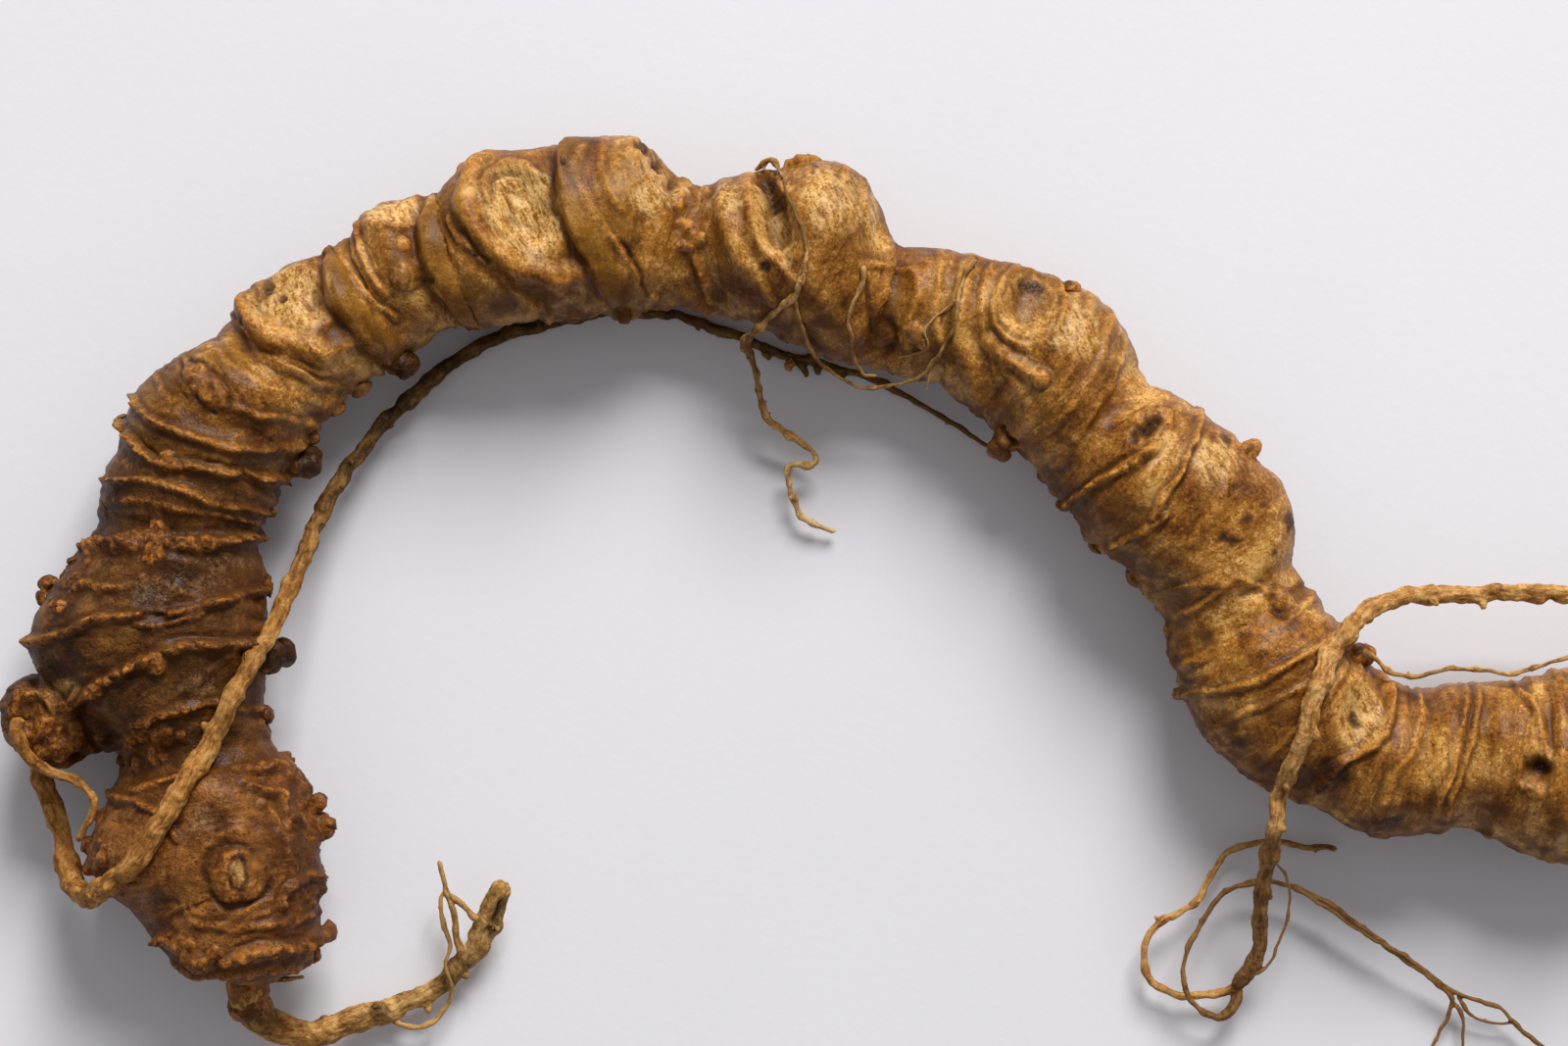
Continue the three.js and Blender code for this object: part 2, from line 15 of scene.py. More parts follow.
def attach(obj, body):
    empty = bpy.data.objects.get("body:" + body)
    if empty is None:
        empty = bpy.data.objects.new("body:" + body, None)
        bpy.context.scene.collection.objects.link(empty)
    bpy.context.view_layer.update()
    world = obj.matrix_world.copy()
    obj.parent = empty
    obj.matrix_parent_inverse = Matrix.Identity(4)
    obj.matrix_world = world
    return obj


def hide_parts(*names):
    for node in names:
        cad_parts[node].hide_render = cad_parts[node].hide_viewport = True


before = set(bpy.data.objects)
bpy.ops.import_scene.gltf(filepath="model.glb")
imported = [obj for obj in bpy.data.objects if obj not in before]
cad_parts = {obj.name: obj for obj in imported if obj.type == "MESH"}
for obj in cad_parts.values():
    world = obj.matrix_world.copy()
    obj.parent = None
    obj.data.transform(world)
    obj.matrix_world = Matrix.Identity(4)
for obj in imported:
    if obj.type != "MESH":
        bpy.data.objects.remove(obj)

LOG = logging.getLogger("ginseng")
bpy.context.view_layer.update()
MM = 0.001  # the tables below are in millimetres, and every mesh is in metres
BODY = "root"
FLOOR_GAP = 0.02  # the lowest that any skin reaches above the floor
PARTS_OF_SPAN = 24  # points between two knots of a curve, before it is spaced evenly
FEWEST_ROWS = 4
LEAST_SIDE = 0.15  # where a spine is so steep that its side way is shorter, the row before gives the way
FIRST_ROOT_SEED = 3
NOISE_SEEDS_FROM = 40
RUN_OFFSET = 40.0  # keeps the lengths along the runs of one root apart
BEADED_FROM = 0.45  # a ridge at least as lumpy as this is a row of beads
ON_TOP: Optional[float] = None  # the height of a root's point that lies on the back of the rhizome
Colour = tuple[float, float, float]
Point2 = tuple[float, float]
Point3 = tuple[float, float, float]
Look = tuple[float, float, float, float]  # a noise in a material: scale, detail, roughness and distortion


# ---- noise and paths
class Noise:
    """Smooth seeded noise through space, from -1 to 1."""

    SIZE = 32  # cells along each side of the lattice, which then repeats
    GAIN = 1.7  # brings the largest values to about 1
    APART = 17.3  # how far one layer is read from the next

    def __init__(self, seed: int) -> None:
        """Draw the lattice of random gradients.

        Args:
            seed: picks the pattern, which is the same on every run.
        """
        rng = np.random.default_rng(seed)
        ways = rng.normal(size=(self.SIZE ** 3, 3)).astype(np.float32)
        self.ways = ways / np.linalg.norm(ways, axis=1, keepdims=True)

    def at(self, points: np.ndarray, period: float) -> np.ndarray:
        """Read the noise.

        Args:
            points: places, one a row.
            period: distance over which the noise turns.

        Returns:
            One value a place, from about -1 to 1.
        """
        place = (points / period).astype(np.float32)
        low = np.floor(place).astype(np.int64)
        part = place - low
        ease = part * part * part * (part * (part * 6 - 15) + 10)
        total = np.zeros(len(points), np.float32)
        for corner in range(8):
            step = np.array([corner & 1, corner >> 1 & 1, corner >> 2 & 1])
            cell = (low + step) % self.SIZE
            way = self.ways[(cell[:, 0] * self.SIZE + cell[:, 1]) * self.SIZE + cell[:, 2]]
            weight = np.prod(np.where(step, ease, 1 - ease), axis=1)
            total += weight * dot_rows(way, part - step)
        return total * self.GAIN

    def layered(self, points: np.ndarray, period: float, layers: int = 3, fade: float = 0.5) -> np.ndarray:
        """Sum several noises, each half the period of the last.

        Args:
            points: places, one a row.
            period: period of the first layer.
            layers: how many layers.
            fade: strength of a layer as a share of the one before.

        Returns:
            One value a place.
        """
        total = np.zeros(len(points), np.float32)
        for layer in range(layers):
            total += fade ** layer * self.at(points + self.APART * layer, period / 2 ** layer)
        return total


@dataclass(frozen=True)
class Unevenness:
    """One layer of uneven skin: how high it stands, its period, and where in the noise it is read."""

    height: float
    period: float
    shift: float = 0.0
    layers: int = 1

    def over(self, noise: Noise, points: np.ndarray) -> np.ndarray:
        """Give the height at each place."""
        return self.height * noise.layered(points + self.shift, self.period, self.layers)


def dot_rows(first: np.ndarray, second: np.ndarray) -> np.ndarray:
    """Multiply two tables of rows into one dot product a row."""
    return np.einsum("ij,ij->i", first, second)


def pairs(run: Sequence[float]) -> tuple[Point2, ...]:
    """Take a run of numbers two at a time."""
    return tuple(zip(run[::2], run[1::2]))


def smooth_step(low: float, high: float, values: np.ndarray) -> np.ndarray:
    """Ease from 0 at low to 1 at high, elementwise."""
    share = np.clip((values - low) / (high - low), 0.0, 1.0)
    return share * share * (3 - 2 * share)


def smooth_run(points: np.ndarray, step: float) -> np.ndarray:
    """Lay a smooth curve through rows of numbers whose first columns are a place.

    Args:
        points: rows of x, y, z and whatever goes with them.
        step: distance between the rows that are given back.

    Returns:
        Evenly spaced rows along the curve.
    """
    first, last = 2 * points[0] - points[1], 2 * points[-1] - points[-2]
    knots = np.vstack([first, points, last])
    share = np.linspace(0, 1, PARTS_OF_SPAN, endpoint=False)[:, None]
    rows = []
    for a, b, c, d in zip(knots, knots[1:], knots[2:], knots[3:]):
        rows.append(0.5 * (2 * b + (c - a) * share + (2 * a - 5 * b + 4 * c - d) * share ** 2
                           + (3 * b - a - 3 * c + d) * share ** 3))
    dense = np.vstack(rows + [points[-1:]])
    length = np.concatenate([[0], np.cumsum(np.linalg.norm(np.diff(dense[:, :3], axis=0), axis=1))])
    places = np.linspace(0, length[-1], max(FEWEST_ROWS, int(length[-1] / step) + 1))
    return np.stack([np.interp(places, length, dense[:, column]) for column in range(dense.shape[1])], axis=1)


@dataclass
class Spine:
    """The middle line of a limb, with its half width and half height, evenly spaced."""

    rows: np.ndarray  # x, y, z, half width, half height, and the way across where it isn't square to the spine

    def __post_init__(self) -> None:
        """Work out the frame at each row."""
        self.middle = self.rows[:, :3]
        ahead = np.gradient(self.middle, axis=0)
        self.ahead = ahead / np.linalg.norm(ahead, axis=1, keepdims=True)
        side = np.cross(self.ahead, (0.0, 0.0, 1.0))
        if self.rows.shape[1] > 5:
            side = np.column_stack([self.rows[:, 5:7], np.zeros(len(side))])
        for row in range(len(side)):
            if np.linalg.norm(side[row]) < LEAST_SIDE and row:
                side[row] = side[row - 1]
        self.side = side / np.linalg.norm(side, axis=1, keepdims=True)
        up = np.cross(self.side, self.ahead)
        self.up = up / np.linalg.norm(up, axis=1, keepdims=True)
        steps = np.linalg.norm(np.diff(self.middle, axis=0), axis=1)
        self.length = np.concatenate([[0], np.cumsum(steps)])


def skin_along(spine: Spine, segments: int, end_round: float, name: str) -> bpy.types.Object:
    """Stretch a ball along a spine: each ring of the ball goes to one row of the spine.

    Args:
        spine: where the rings go.
        segments: corners of each ring.
        end_round: length over which the ends close, in millimetres.
        name: name of the object.

    Returns:
        The new object, a closed body.
    """
    bpy.ops.object.select_all(action="DESELECT")
    rings = len(spine.rows) - 1
    bpy.ops.mesh.primitive_uv_sphere_add(segments=segments, ring_count=rings, radius=1.0)
    limb = bpy.context.object
    limb.name = name
    ball = read_points(limb) * MM
    ring = np.rint(np.arccos(np.clip(ball[:, 2], -1, 1)) / math.pi * rings).astype(int)
    turn = np.arctan2(ball[:, 1], ball[:, 0])
    to_end = np.minimum(spine.length, spine.length[-1] - spine.length)
    close = np.sqrt(1 - (1 - np.minimum(1, to_end / end_round)) ** 2)
    wide = (spine.rows[:, 3] * close)[ring] * np.cos(turn)
    high = (spine.rows[:, 4] * close)[ring] * np.sin(turn)
    place = spine.middle[ring] + spine.side[ring] * wide[:, None] + spine.up[ring] * high[:, None]
    write_points(limb, place)
    return limb


# ---- mesh handling
def read_points(piece: bpy.types.Object) -> np.ndarray:
    """Give a mesh's corners in millimetres, one a row.

    Args:
        piece: the mesh object.

    Returns:
        The corners.
    """
    flat = np.empty(len(piece.data.vertices) * 3, np.float32)
    piece.data.vertices.foreach_get("co", flat)
    return flat.reshape(-1, 3) / MM


def write_points(piece: bpy.types.Object, points: np.ndarray) -> None:
    """Put a mesh's corners at places given in millimetres."""
    piece.data.vertices.foreach_set("co", (points * MM).astype(np.float32).ravel())
    piece.data.update()


def read_normals(piece: bpy.types.Object) -> np.ndarray:
    """Give the outward direction at each corner of a mesh.

    Args:
        piece: the mesh object.

    Returns:
        The directions, one a row.
    """
    flat = np.empty(len(piece.data.vertices) * 3, np.float32)
    piece.data.vertex_normals.foreach_get("vector", flat)
    return flat.reshape(-1, 3)


def join(pieces: Sequence[bpy.types.Object], name: str) -> bpy.types.Object:
    """Join several mesh objects into the first of them and name it.

    Args:
        pieces: the mesh objects.
        name: what the joined one is called.

    Returns:
        The joined object.
    """
    bpy.ops.object.select_all(action="DESELECT")
    for piece in pieces:
        piece.select_set(True)
    bpy.context.view_layer.objects.active = pieces[0]
    if len(pieces) > 1:
        bpy.ops.object.join()
    pieces[0].name = name
    pieces[0].data.name = name
    return pieces[0]


def finish_modifier(piece: bpy.types.Object, kind: str, **settings: object) -> None:
    """Add one modifier to a piece and apply it.

    Args:
        piece: the mesh object.
        kind: Blender's name for the modifier type.
        settings: what to set on it.
    """
    bpy.ops.object.select_all(action="DESELECT")
    piece.select_set(True)
    bpy.context.view_layer.objects.active = piece
    modifier = piece.modifiers.new(kind.title(), kind)
    for key, value in settings.items():
        setattr(modifier, key, value)
    bpy.ops.object.modifier_apply(modifier=modifier.name)


def grow_together(piece: bpy.types.Object, grain: float, passes: int) -> None:
    """Turn overlapping bodies into one skin and soften the seams between them.

    Args:
        piece: the mesh object.
        grain: spacing of the new skin's corners, in millimetres.
        passes: how many times the skin is smoothed.
    """
    finish_modifier(piece, "REMESH", mode="VOXEL", voxel_size=grain * MM, use_smooth_shade=True)
    finish_modifier(piece, "SMOOTH", factor=0.5, iterations=passes)


def neighbour_mean(piece: bpy.types.Object, values: np.ndarray, passes: int) -> np.ndarray:
    """Average values over neighbouring corners, again and again.

    Args:
        piece: the mesh object.
        values: one row a corner.
        passes: how many times.

    Returns:
        The averaged values, of the same shape.
    """
    mesh = piece.data
    edges = np.empty(len(mesh.edges) * 2, np.int32)
    mesh.edges.foreach_get("vertices", edges)
    start, end = edges[0::2], edges[1::2]
    count = np.bincount(edges, minlength=len(mesh.vertices)) + 1.0
    for _ in range(passes):
        sums = np.stack([np.bincount(start, values[end, column], len(count))
                         + np.bincount(end, values[start, column], len(count))
                         for column in range(values.shape[1])], axis=1)
        values = (values + sums) / count[:, None]
    return values


def straighten(points: np.ndarray, spines: Sequence[Spine]) -> tuple[np.ndarray, np.ndarray]:
    """Give each place's distance along the nearest spine, and how far to its side and above it.

    Args:
        points: places in millimetres.
        spines: the spines of the limb's runs.

    Returns:
        Rows of (along, beside, above), and each place's limb radius.
    """
    rows = np.vstack([s.middle for s in spines])
    tree = KDTree(len(rows))
    for index, row in enumerate(rows):
        tree.insert(row, index)
    tree.balance()
    near = np.fromiter((tree.find(point)[1] for point in points), np.int64, len(points))
    side, up = np.vstack([s.side for s in spines]), np.vstack([s.up for s in spines])
    ahead = np.vstack([s.ahead for s in spines])
    along = np.concatenate([s.length + RUN_OFFSET * index for index, s in enumerate(spines)])
    away = points - rows[near]
    ahead_of, beside, above = (dot_rows(away, ways[near]) for ways in (ahead, side, up))
    laid = np.stack([along[near] + ahead_of, beside, above], axis=1)
    radius = np.concatenate([s.rows[:, 3] for s in spines])[near]
    return laid, radius


def set_marks(piece: bpy.types.Object, name: str, values: np.ndarray) -> None:
    """Store a value at each corner for the material to read.

    Args:
        piece: the mesh object.
        name: what the material calls it.
        values: one row a corner. Three numbers are stored as a vector. Four are stored as a colour, and
            colours are all that the exported model keeps.
    """
    kind, key = {3: ("FLOAT_VECTOR", "vector"), 4: ("FLOAT_COLOR", "color")}[values.shape[1]]
    layer = piece.data.attributes.new(name, kind, "POINT")
    layer.data.foreach_set(key, values.astype(np.float32).ravel())


def thin_out(piece: bpy.types.Object, most: int) -> None:
    """Bring a piece under a number of triangles, keeping its relief.

    Args:
        piece: the mesh object.
        most: how many triangles may be left.
    """
    triangles = sum(len(face.vertices) - 2 for face in piece.data.polygons)
    if triangles > most:
        finish_modifier(piece, "DECIMATE", decimate_type="COLLAPSE", ratio=most / triangles)


# ---- relief of the bark
class Mark(Enum):
    """What a place on the skin is marked as, which its material reads."""

    CREST = 0
    DARK = 1
    SCAR = 2
    COLLAR = 3
    BLOOM = 4


class Lap(Enum):
    """Which side of a ridge falls away steeply."""

    NEITHER = 0
    OLD = -1
    YOUNG = 1


@dataclass(frozen=True)
class Ridge:
    """A raised line across the rhizome, from its outer edge to its inner edge."""

    line: tuple[Point2, ...]
    height: float
    width: float
    lumps: float
    dark: float  # painted shade: how dark the furrow beside it is made
    crest: float = 1.0
    lap: Lap = Lap.NEITHER
    collar: float = 0.0  # width of the smooth band on the young side


@dataclass(frozen=True)
class Crevice:
    """A narrow furrow."""

    line: tuple[Point2, ...]
    depth: float
    width: float
    dark: float = 0.8


@dataclass(frozen=True)
class Neck:
    """A broad waist across the back, between the growth of one year and the next."""

    line: tuple[Point2, ...]
    depth: float
    width: float


@dataclass(frozen=True)
class Swell:
    """A broad bulge, or a broad hollow where the height is below zero."""

    middle: Point2
    radii: Point2
    height: float


@dataclass(frozen=True)
class Dish:
    """The hollow scar that one year's stem left."""

    middle: Point2
    radii: Point2
    turn: float  # degrees, here and below
    depth: float
    rim: float
    rim_width: float
    pale: float = 1.0


@dataclass(frozen=True)
class Ripples:
    """Fine rings around a scar."""

    middle: Point2
    inner: float
    outer: float
    period: float
    height: float


@dataclass(frozen=True)
class Wart:
    """A round lump: a root scar or a bud."""

    middle: Point2
    radius: float
    height: float
    crest: float


@dataclass(frozen=True)
class Cluster:
    """A patch of small warts."""

    middle: Point2
    radii: Point2
    turn: float
    count: int
    size: float
    height: float


@dataclass(frozen=True)
class Pit:
    """A small hole."""

    middle: Point2
    radius: float
    depth: float
    dark: float


@dataclass(frozen=True)
class Patch:
    """A stain or a pale patch with a ragged edge, and no relief; some are painted shade and some painted highlight.
    """

    middle: Point2
    radii: Point2
    turn: float
    kind: Mark
    strength: float


class Relief:
    """Carves and raises features on a skin, and marks them for the material."""

    WANDER = (Unevenness(0.34, 3.2), Unevenness(0.13, 1.1))  # moves every outline a little off its place
    WANDER_SHIFTS = (0.0, 50.0)
    BROAD_LUMPS = Unevenness(0.8, 2.6, 9.0)
    FINE_LUMPS = Unevenness(1.0, 1.25, 30.0)
    FRAY = Unevenness(1.0, 1.6, 60.0, 3)
    BUD_TURN = 2.4  # radians from one small lump on a wart to the next

    def __init__(self, points: np.ndarray, normals: np.ndarray, noise: Noise) -> None:
        """Take the skin as it is before any feature.

        Args:
            points: its corners in millimetres.
            normals: the outward direction at each.
            noise: makes each feature uneven.
        """
        self.points, self.normals, self.noise = points, normals, noise
        wander = np.stack([sum(part.over(noise, points + shift) for part in self.WANDER)
                           for shift in self.WANDER_SHIFTS], axis=1)
        self.plan = points[:, :2] + wander
        self.lumpy = self.BROAD_LUMPS.over(noise, points) + np.abs(self.FINE_LUMPS.over(noise, points)) * 1.4 - 0.4
        self.ragged = self.FRAY.over(noise, points)
        self.on_top = smooth_step(-0.25, 0.15, normals[:, 2])
        self.rise, self.fall, self.form = (np.zeros(len(points)) for _ in range(3))
        self.marks = np.zeros((len(points), len(Mark)))

    def stamp(self, kind: Mark, chosen: np.ndarray, values: np.ndarray) -> None:
        """Mark some corners, where they aren't marked more strongly already."""
        self.marks[chosen, kind.value] = np.maximum(self.marks[chosen, kind.value], np.clip(values, 0, 1))

    def raise_by(self, chosen: np.ndarray, height: np.ndarray) -> None:
        """Raise some corners to a height, where they aren't higher already."""
        self.rise[chosen] = np.maximum(self.rise[chosen], height)

    def sink_by(self, chosen: np.ndarray, depth: np.ndarray) -> None:
        """Sink some corners to a depth, where they aren't deeper already."""
        self.fall[chosen] = np.minimum(self.fall[chosen], -depth)

    def near(self, low: np.ndarray, high: np.ndarray, reach: float) -> np.ndarray:
        """Give the corners whose place in plan is within reach of a box."""
        inside = (self.plan > low - reach) & (self.plan < high + reach)
        return np.flatnonzero(inside.all(axis=1))

    def from_line(self, line: Sequence[Point2], reach: float) -> tuple[np.ndarray, np.ndarray]:
        """Measure corners against a line.

        Args:
            line: the line's points in plan.
            reach: how far from it corners are taken.

        Returns:
            The corners taken, and their distance from the line, above zero on its young side.
        """
        corners = np.array(line, float)
        chosen = self.near(corners.min(0), corners.max(0), reach)
        fine = smooth_run(np.column_stack([corners, np.zeros(len(line))]), 0.6)[:, :2]
        place = self.plan[chosen]
        best = np.full(len(place), 1e9)
        signed = np.zeros(len(place))
        for start, way in zip(fine, np.diff(fine, axis=0)):
            away = place - start
            share = np.clip(away @ way / (way @ way), 0, 1)
            gap = np.linalg.norm(away - share[:, None] * way, axis=1)
            closer = gap < best
            best = np.where(closer, gap, best)
            young = way[0] * away[:, 1] - way[1] * away[:, 0] > 0
            signed = np.where(closer, np.where(young, gap, -gap), signed)
        return chosen, signed

    def from_middle(self, feature: object, reach: float, frayed: float = 0.0) -> tuple[np.ndarray, np.ndarray]:
        """Measure corners against a feature's ellipse.

        Args:
            feature: has a middle and radii, and may have a turn.
            reach: how many times the ellipse's size corners are taken.
            frayed: how ragged the edge is.

        Returns:
            The corners taken, and their distance from the middle, 1 on the ellipse.
        """
        middle = np.array(feature.middle)
        radii = np.array(getattr(feature, "radii", None) or (feature.radius, feature.radius))
        turn = math.radians(getattr(feature, "turn", 0.0))
        chosen = self.near(middle, middle, radii.max() * reach)
        away = self.plan[chosen] - middle
        cos, sin = math.cos(turn), math.sin(turn)
        share = np.linalg.norm(np.stack([away @ (cos, sin), away @ (-sin, cos)], axis=1) / radii, axis=1)
        return chosen, share * (1 + frayed * self.ragged[chosen])

    def add(self, feature: object) -> None:
        """Work one feature into the skin.

        Args:
            feature: any of the kinds above.
        """
        {Ridge: self.ridge, Crevice: self.crevice, Neck: self.neck, Swell: self.swell, Dish: self.dish,
         Ripples: self.ripples, Wart: self.wart, Cluster: self.cluster, Pit: self.pit,
         Patch: self.patch}[type(feature)](feature)

    def ridge(self, ridge: Ridge) -> None:
        """Raise a ridge, with a furrow beside it and a smooth band on its young side.

        Args:
            ridge: its line and sizes.
        """
        chosen, signed = self.from_line(ridge.line, 3 * ridge.width + ridge.collar + 1)
        on_flank, squareness = (0.6, 2.8) if ridge.lumps >= BEADED_FROM else (0.3, 2.0)
        uneven = self.lumpy[chosen]
        height = ridge.height * np.clip(1 + ridge.lumps * 1.6 * uneven, 0.1, 2.2)
        facing = smooth_step(0.05, 0.55, np.abs(self.normals[chosen, 2]))
        height = height * (facing + on_flank * (1 - facing))
        gentle, steep = max(ridge.width, ridge.collar * 0.75), 0.5 * ridge.width + 0.12
        sides = {Lap.YOUNG: (steep, gentle), Lap.OLD: (gentle, steep), Lap.NEITHER: (ridge.width, ridge.width)}
        young, old = sides[ridge.lap]
        spread = np.abs(np.where(signed > 0, signed / young, signed / old))
        self.raise_by(chosen, height * np.exp(-spread ** squareness))
        crest = np.exp(-(signed / (0.75 * ridge.width)) ** 2) * np.clip(0.7 + 0.6 * uneven, 0, 1)
        self.stamp(Mark.CREST, chosen, ridge.crest * crest)
        # The furrow beside the ridge is sunk and darkened: painted shade.
        for side, reach in ((Lap.OLD, old), (Lap.YOUNG, young)):
            if ridge.lap in (side, Lap.NEITHER):
                strength = 1.0 if ridge.lap is side else 0.5
                furrow = np.exp(-((signed * side.value - 1.5 * reach - 0.12) / (0.5 * ridge.width + 0.1)) ** 2)
                self.sink_by(chosen, 0.3 * strength * furrow * height)
                self.stamp(Mark.DARK, chosen, ridge.dark * strength * furrow)
        if ridge.collar:
            band = smooth_step(-0.5, 0.2, signed) * (1 - smooth_step(0.6 * ridge.collar, ridge.collar, signed))
            self.stamp(Mark.COLLAR, chosen, band)

    def crevice(self, crevice: Crevice) -> None:
        """Cut a furrow.

        Args:
            crevice: its line and sizes.
        """
        chosen, signed = self.from_line(crevice.line, 3 * crevice.width + 0.5)
        shape = np.exp(-(signed / crevice.width) ** 2) * self.on_top[chosen]
        self.sink_by(chosen, crevice.depth * shape)
        # Darkened along its bottom: partly dirt, partly painted shade.
        self.stamp(Mark.DARK, chosen, crevice.dark * shape * (1 + 0.5 * self.ragged[chosen]))

    def neck(self, neck: Neck) -> None:
        """Draw the back in along a line.

        Args:
            neck: its line and sizes.
        """
        chosen, signed = self.from_line(neck.line, 3 * neck.width)
        top = smooth_step(-0.1, 0.7, self.normals[chosen, 2])
        self.form[chosen] -= neck.depth * np.exp(-(signed / neck.width) ** 2) * top

    def swell(self, swell: Swell) -> None:
        """Bulge the skin out, or in.

        Args:
            swell: its place and sizes.
        """
        chosen, share = self.from_middle(swell, 1.6)
        dome = np.clip(1 - (share / 1.3) ** 2, 0, 1) ** 2
        self.form[chosen] += swell.height * dome * self.on_top[chosen]

    def dish(self, dish: Dish) -> None:
        """Hollow out a scar with a raised rim and a pale floor.

        Args:
            dish: its place and sizes.
        """
        size = math.sqrt(dish.radii[0] * dish.radii[1])
        chosen, share = self.from_middle(dish, 1.2 + 3 * dish.rim_width / min(dish.radii), 0.3 / size)
        top = self.on_top[chosen]
        self.form[chosen] -= dish.depth * (1 - smooth_step(0.3, 1.0, share)) * top
        rim = np.exp(-(((share - 1) * size - 0.4 * dish.rim_width) / dish.rim_width) ** 2) * top
        self.raise_by(chosen, dish.rim * rim * np.clip(1 + 0.6 * self.lumpy[chosen], 0.2, 2))
        self.stamp(Mark.SCAR, chosen, dish.pale * (1 - smooth_step(0.82, 1.02, share)) * top)

    def ripples(self, ripples: Ripples) -> None:
        """Raise rings around a place.

        Args:
            ripples: their place and sizes.
        """
        middle = np.array(ripples.middle)
        chosen = self.near(middle, middle, ripples.outer)
        gap = np.linalg.norm(self.plan[chosen] - middle, axis=1)
        mask = smooth_step(ripples.inner - 0.5, ripples.inner, gap) * (1 - smooth_step(0.6, 1, gap / ripples.outer))
        wave = np.sin(2 * math.pi * gap / ripples.period + 2 * self.ragged[chosen])
        self.form[chosen] += ripples.height * wave * mask * self.on_top[chosen]

    def lump(self, middle: Point2, radius: float, height: float, crest: float) -> None:
        """Raise one round lump on the skin above a place in plan.

        Args:
            middle: the place in plan.
            radius: its radius.
            height: how far it stands out.
            crest: how worn its top is.
        """
        column = np.linalg.norm(self.points[:, :2] - np.array(middle), axis=1)
        over = np.flatnonzero(column < max(0.5, radius))
        if not len(over):
            return
        at = over[np.argmax(self.points[over, 2] - column[over])]
        heart = np.array([*middle, self.points[at, 2]])
        chosen = np.flatnonzero(np.abs(self.points - heart).max(axis=1) < radius * 1.5)
        gap = np.linalg.norm(self.points[chosen] - heart, axis=1) / radius
        gap = gap * (1 + 0.22 * self.noise.at(self.points[chosen] + 3.0, 1.3))
        dome = np.clip(1 - gap ** 2, 0, 1) ** 0.8
        self.raise_by(chosen, self.rise[at] * 0.5 * (gap < 1) + height * dome)
        self.stamp(Mark.CREST, chosen, crest * np.clip(2.2 * dome, 0, 1))
        # A dark ring round its foot: painted shade.
        self.stamp(Mark.DARK, chosen, 0.4 * np.exp(-((gap - 1.12) / 0.2) ** 2) * (gap > 0.95))

    def wart(self, wart: Wart) -> None:
        """Raise a wart, with smaller lumps on a large one.

        Args:
            wart: its place and sizes.
        """
        self.lump(wart.middle, wart.radius, wart.height, wart.crest)
        for turn in range(5 if 1.0 < wart.radius < 2.0 else 0):
            angle = self.BUD_TURN * turn + wart.middle[0]
            x, y = (c + 0.55 * wart.radius * f(angle) for c, f in zip(wart.middle, (math.cos, math.sin)))
            self.lump((x, y), wart.radius * 0.42, wart.height * 0.4, wart.crest)

    def cluster(self, cluster: Cluster) -> None:
        """Scatter small warts over an ellipse.

        Args:
            cluster: its place and sizes.
        """
        rng = np.random.default_rng(int(abs(cluster.middle[0]) * 100 + abs(cluster.middle[1]) * 7))
        cos, sin = math.cos(math.radians(cluster.turn)), math.sin(math.radians(cluster.turn))
        for _ in range(cluster.count):
            angle, out = rng.uniform(0, 2 * math.pi), math.sqrt(rng.uniform(0, 1))
            x, y = out * cluster.radii[0] * math.cos(angle), out * cluster.radii[1] * math.sin(angle)
            place = (cluster.middle[0] + cos * x - sin * y, cluster.middle[1] + sin * x + cos * y)
            size = rng.uniform(0.65, 1.3)
            self.lump(place, cluster.size * size, cluster.height * size, 0.9)

    def pit(self, pit: Pit) -> None:
        """Sink a small hole.

        Args:
            pit: its place and sizes.
        """
        chosen, share = self.from_middle(pit, 3, 0.5)
        shape = np.exp(-share ** 2.5) * self.on_top[chosen]
        self.sink_by(chosen, pit.depth * shape)
        # Darkened within: partly stain, partly painted shade.
        self.stamp(Mark.DARK, chosen, pit.dark * 1.2 * shape)

    def patch(self, patch: Patch) -> None:
        """Colour a patch of the skin.

        Args:
            patch: its place, kind and strength.
        """
        chosen, share = self.from_middle(patch, 1.8, 0.45)
        cover = (1 - smooth_step(0.55, 1.1, share)) * self.on_top[chosen]
        self.stamp(patch.kind, chosen, patch.strength * cover)


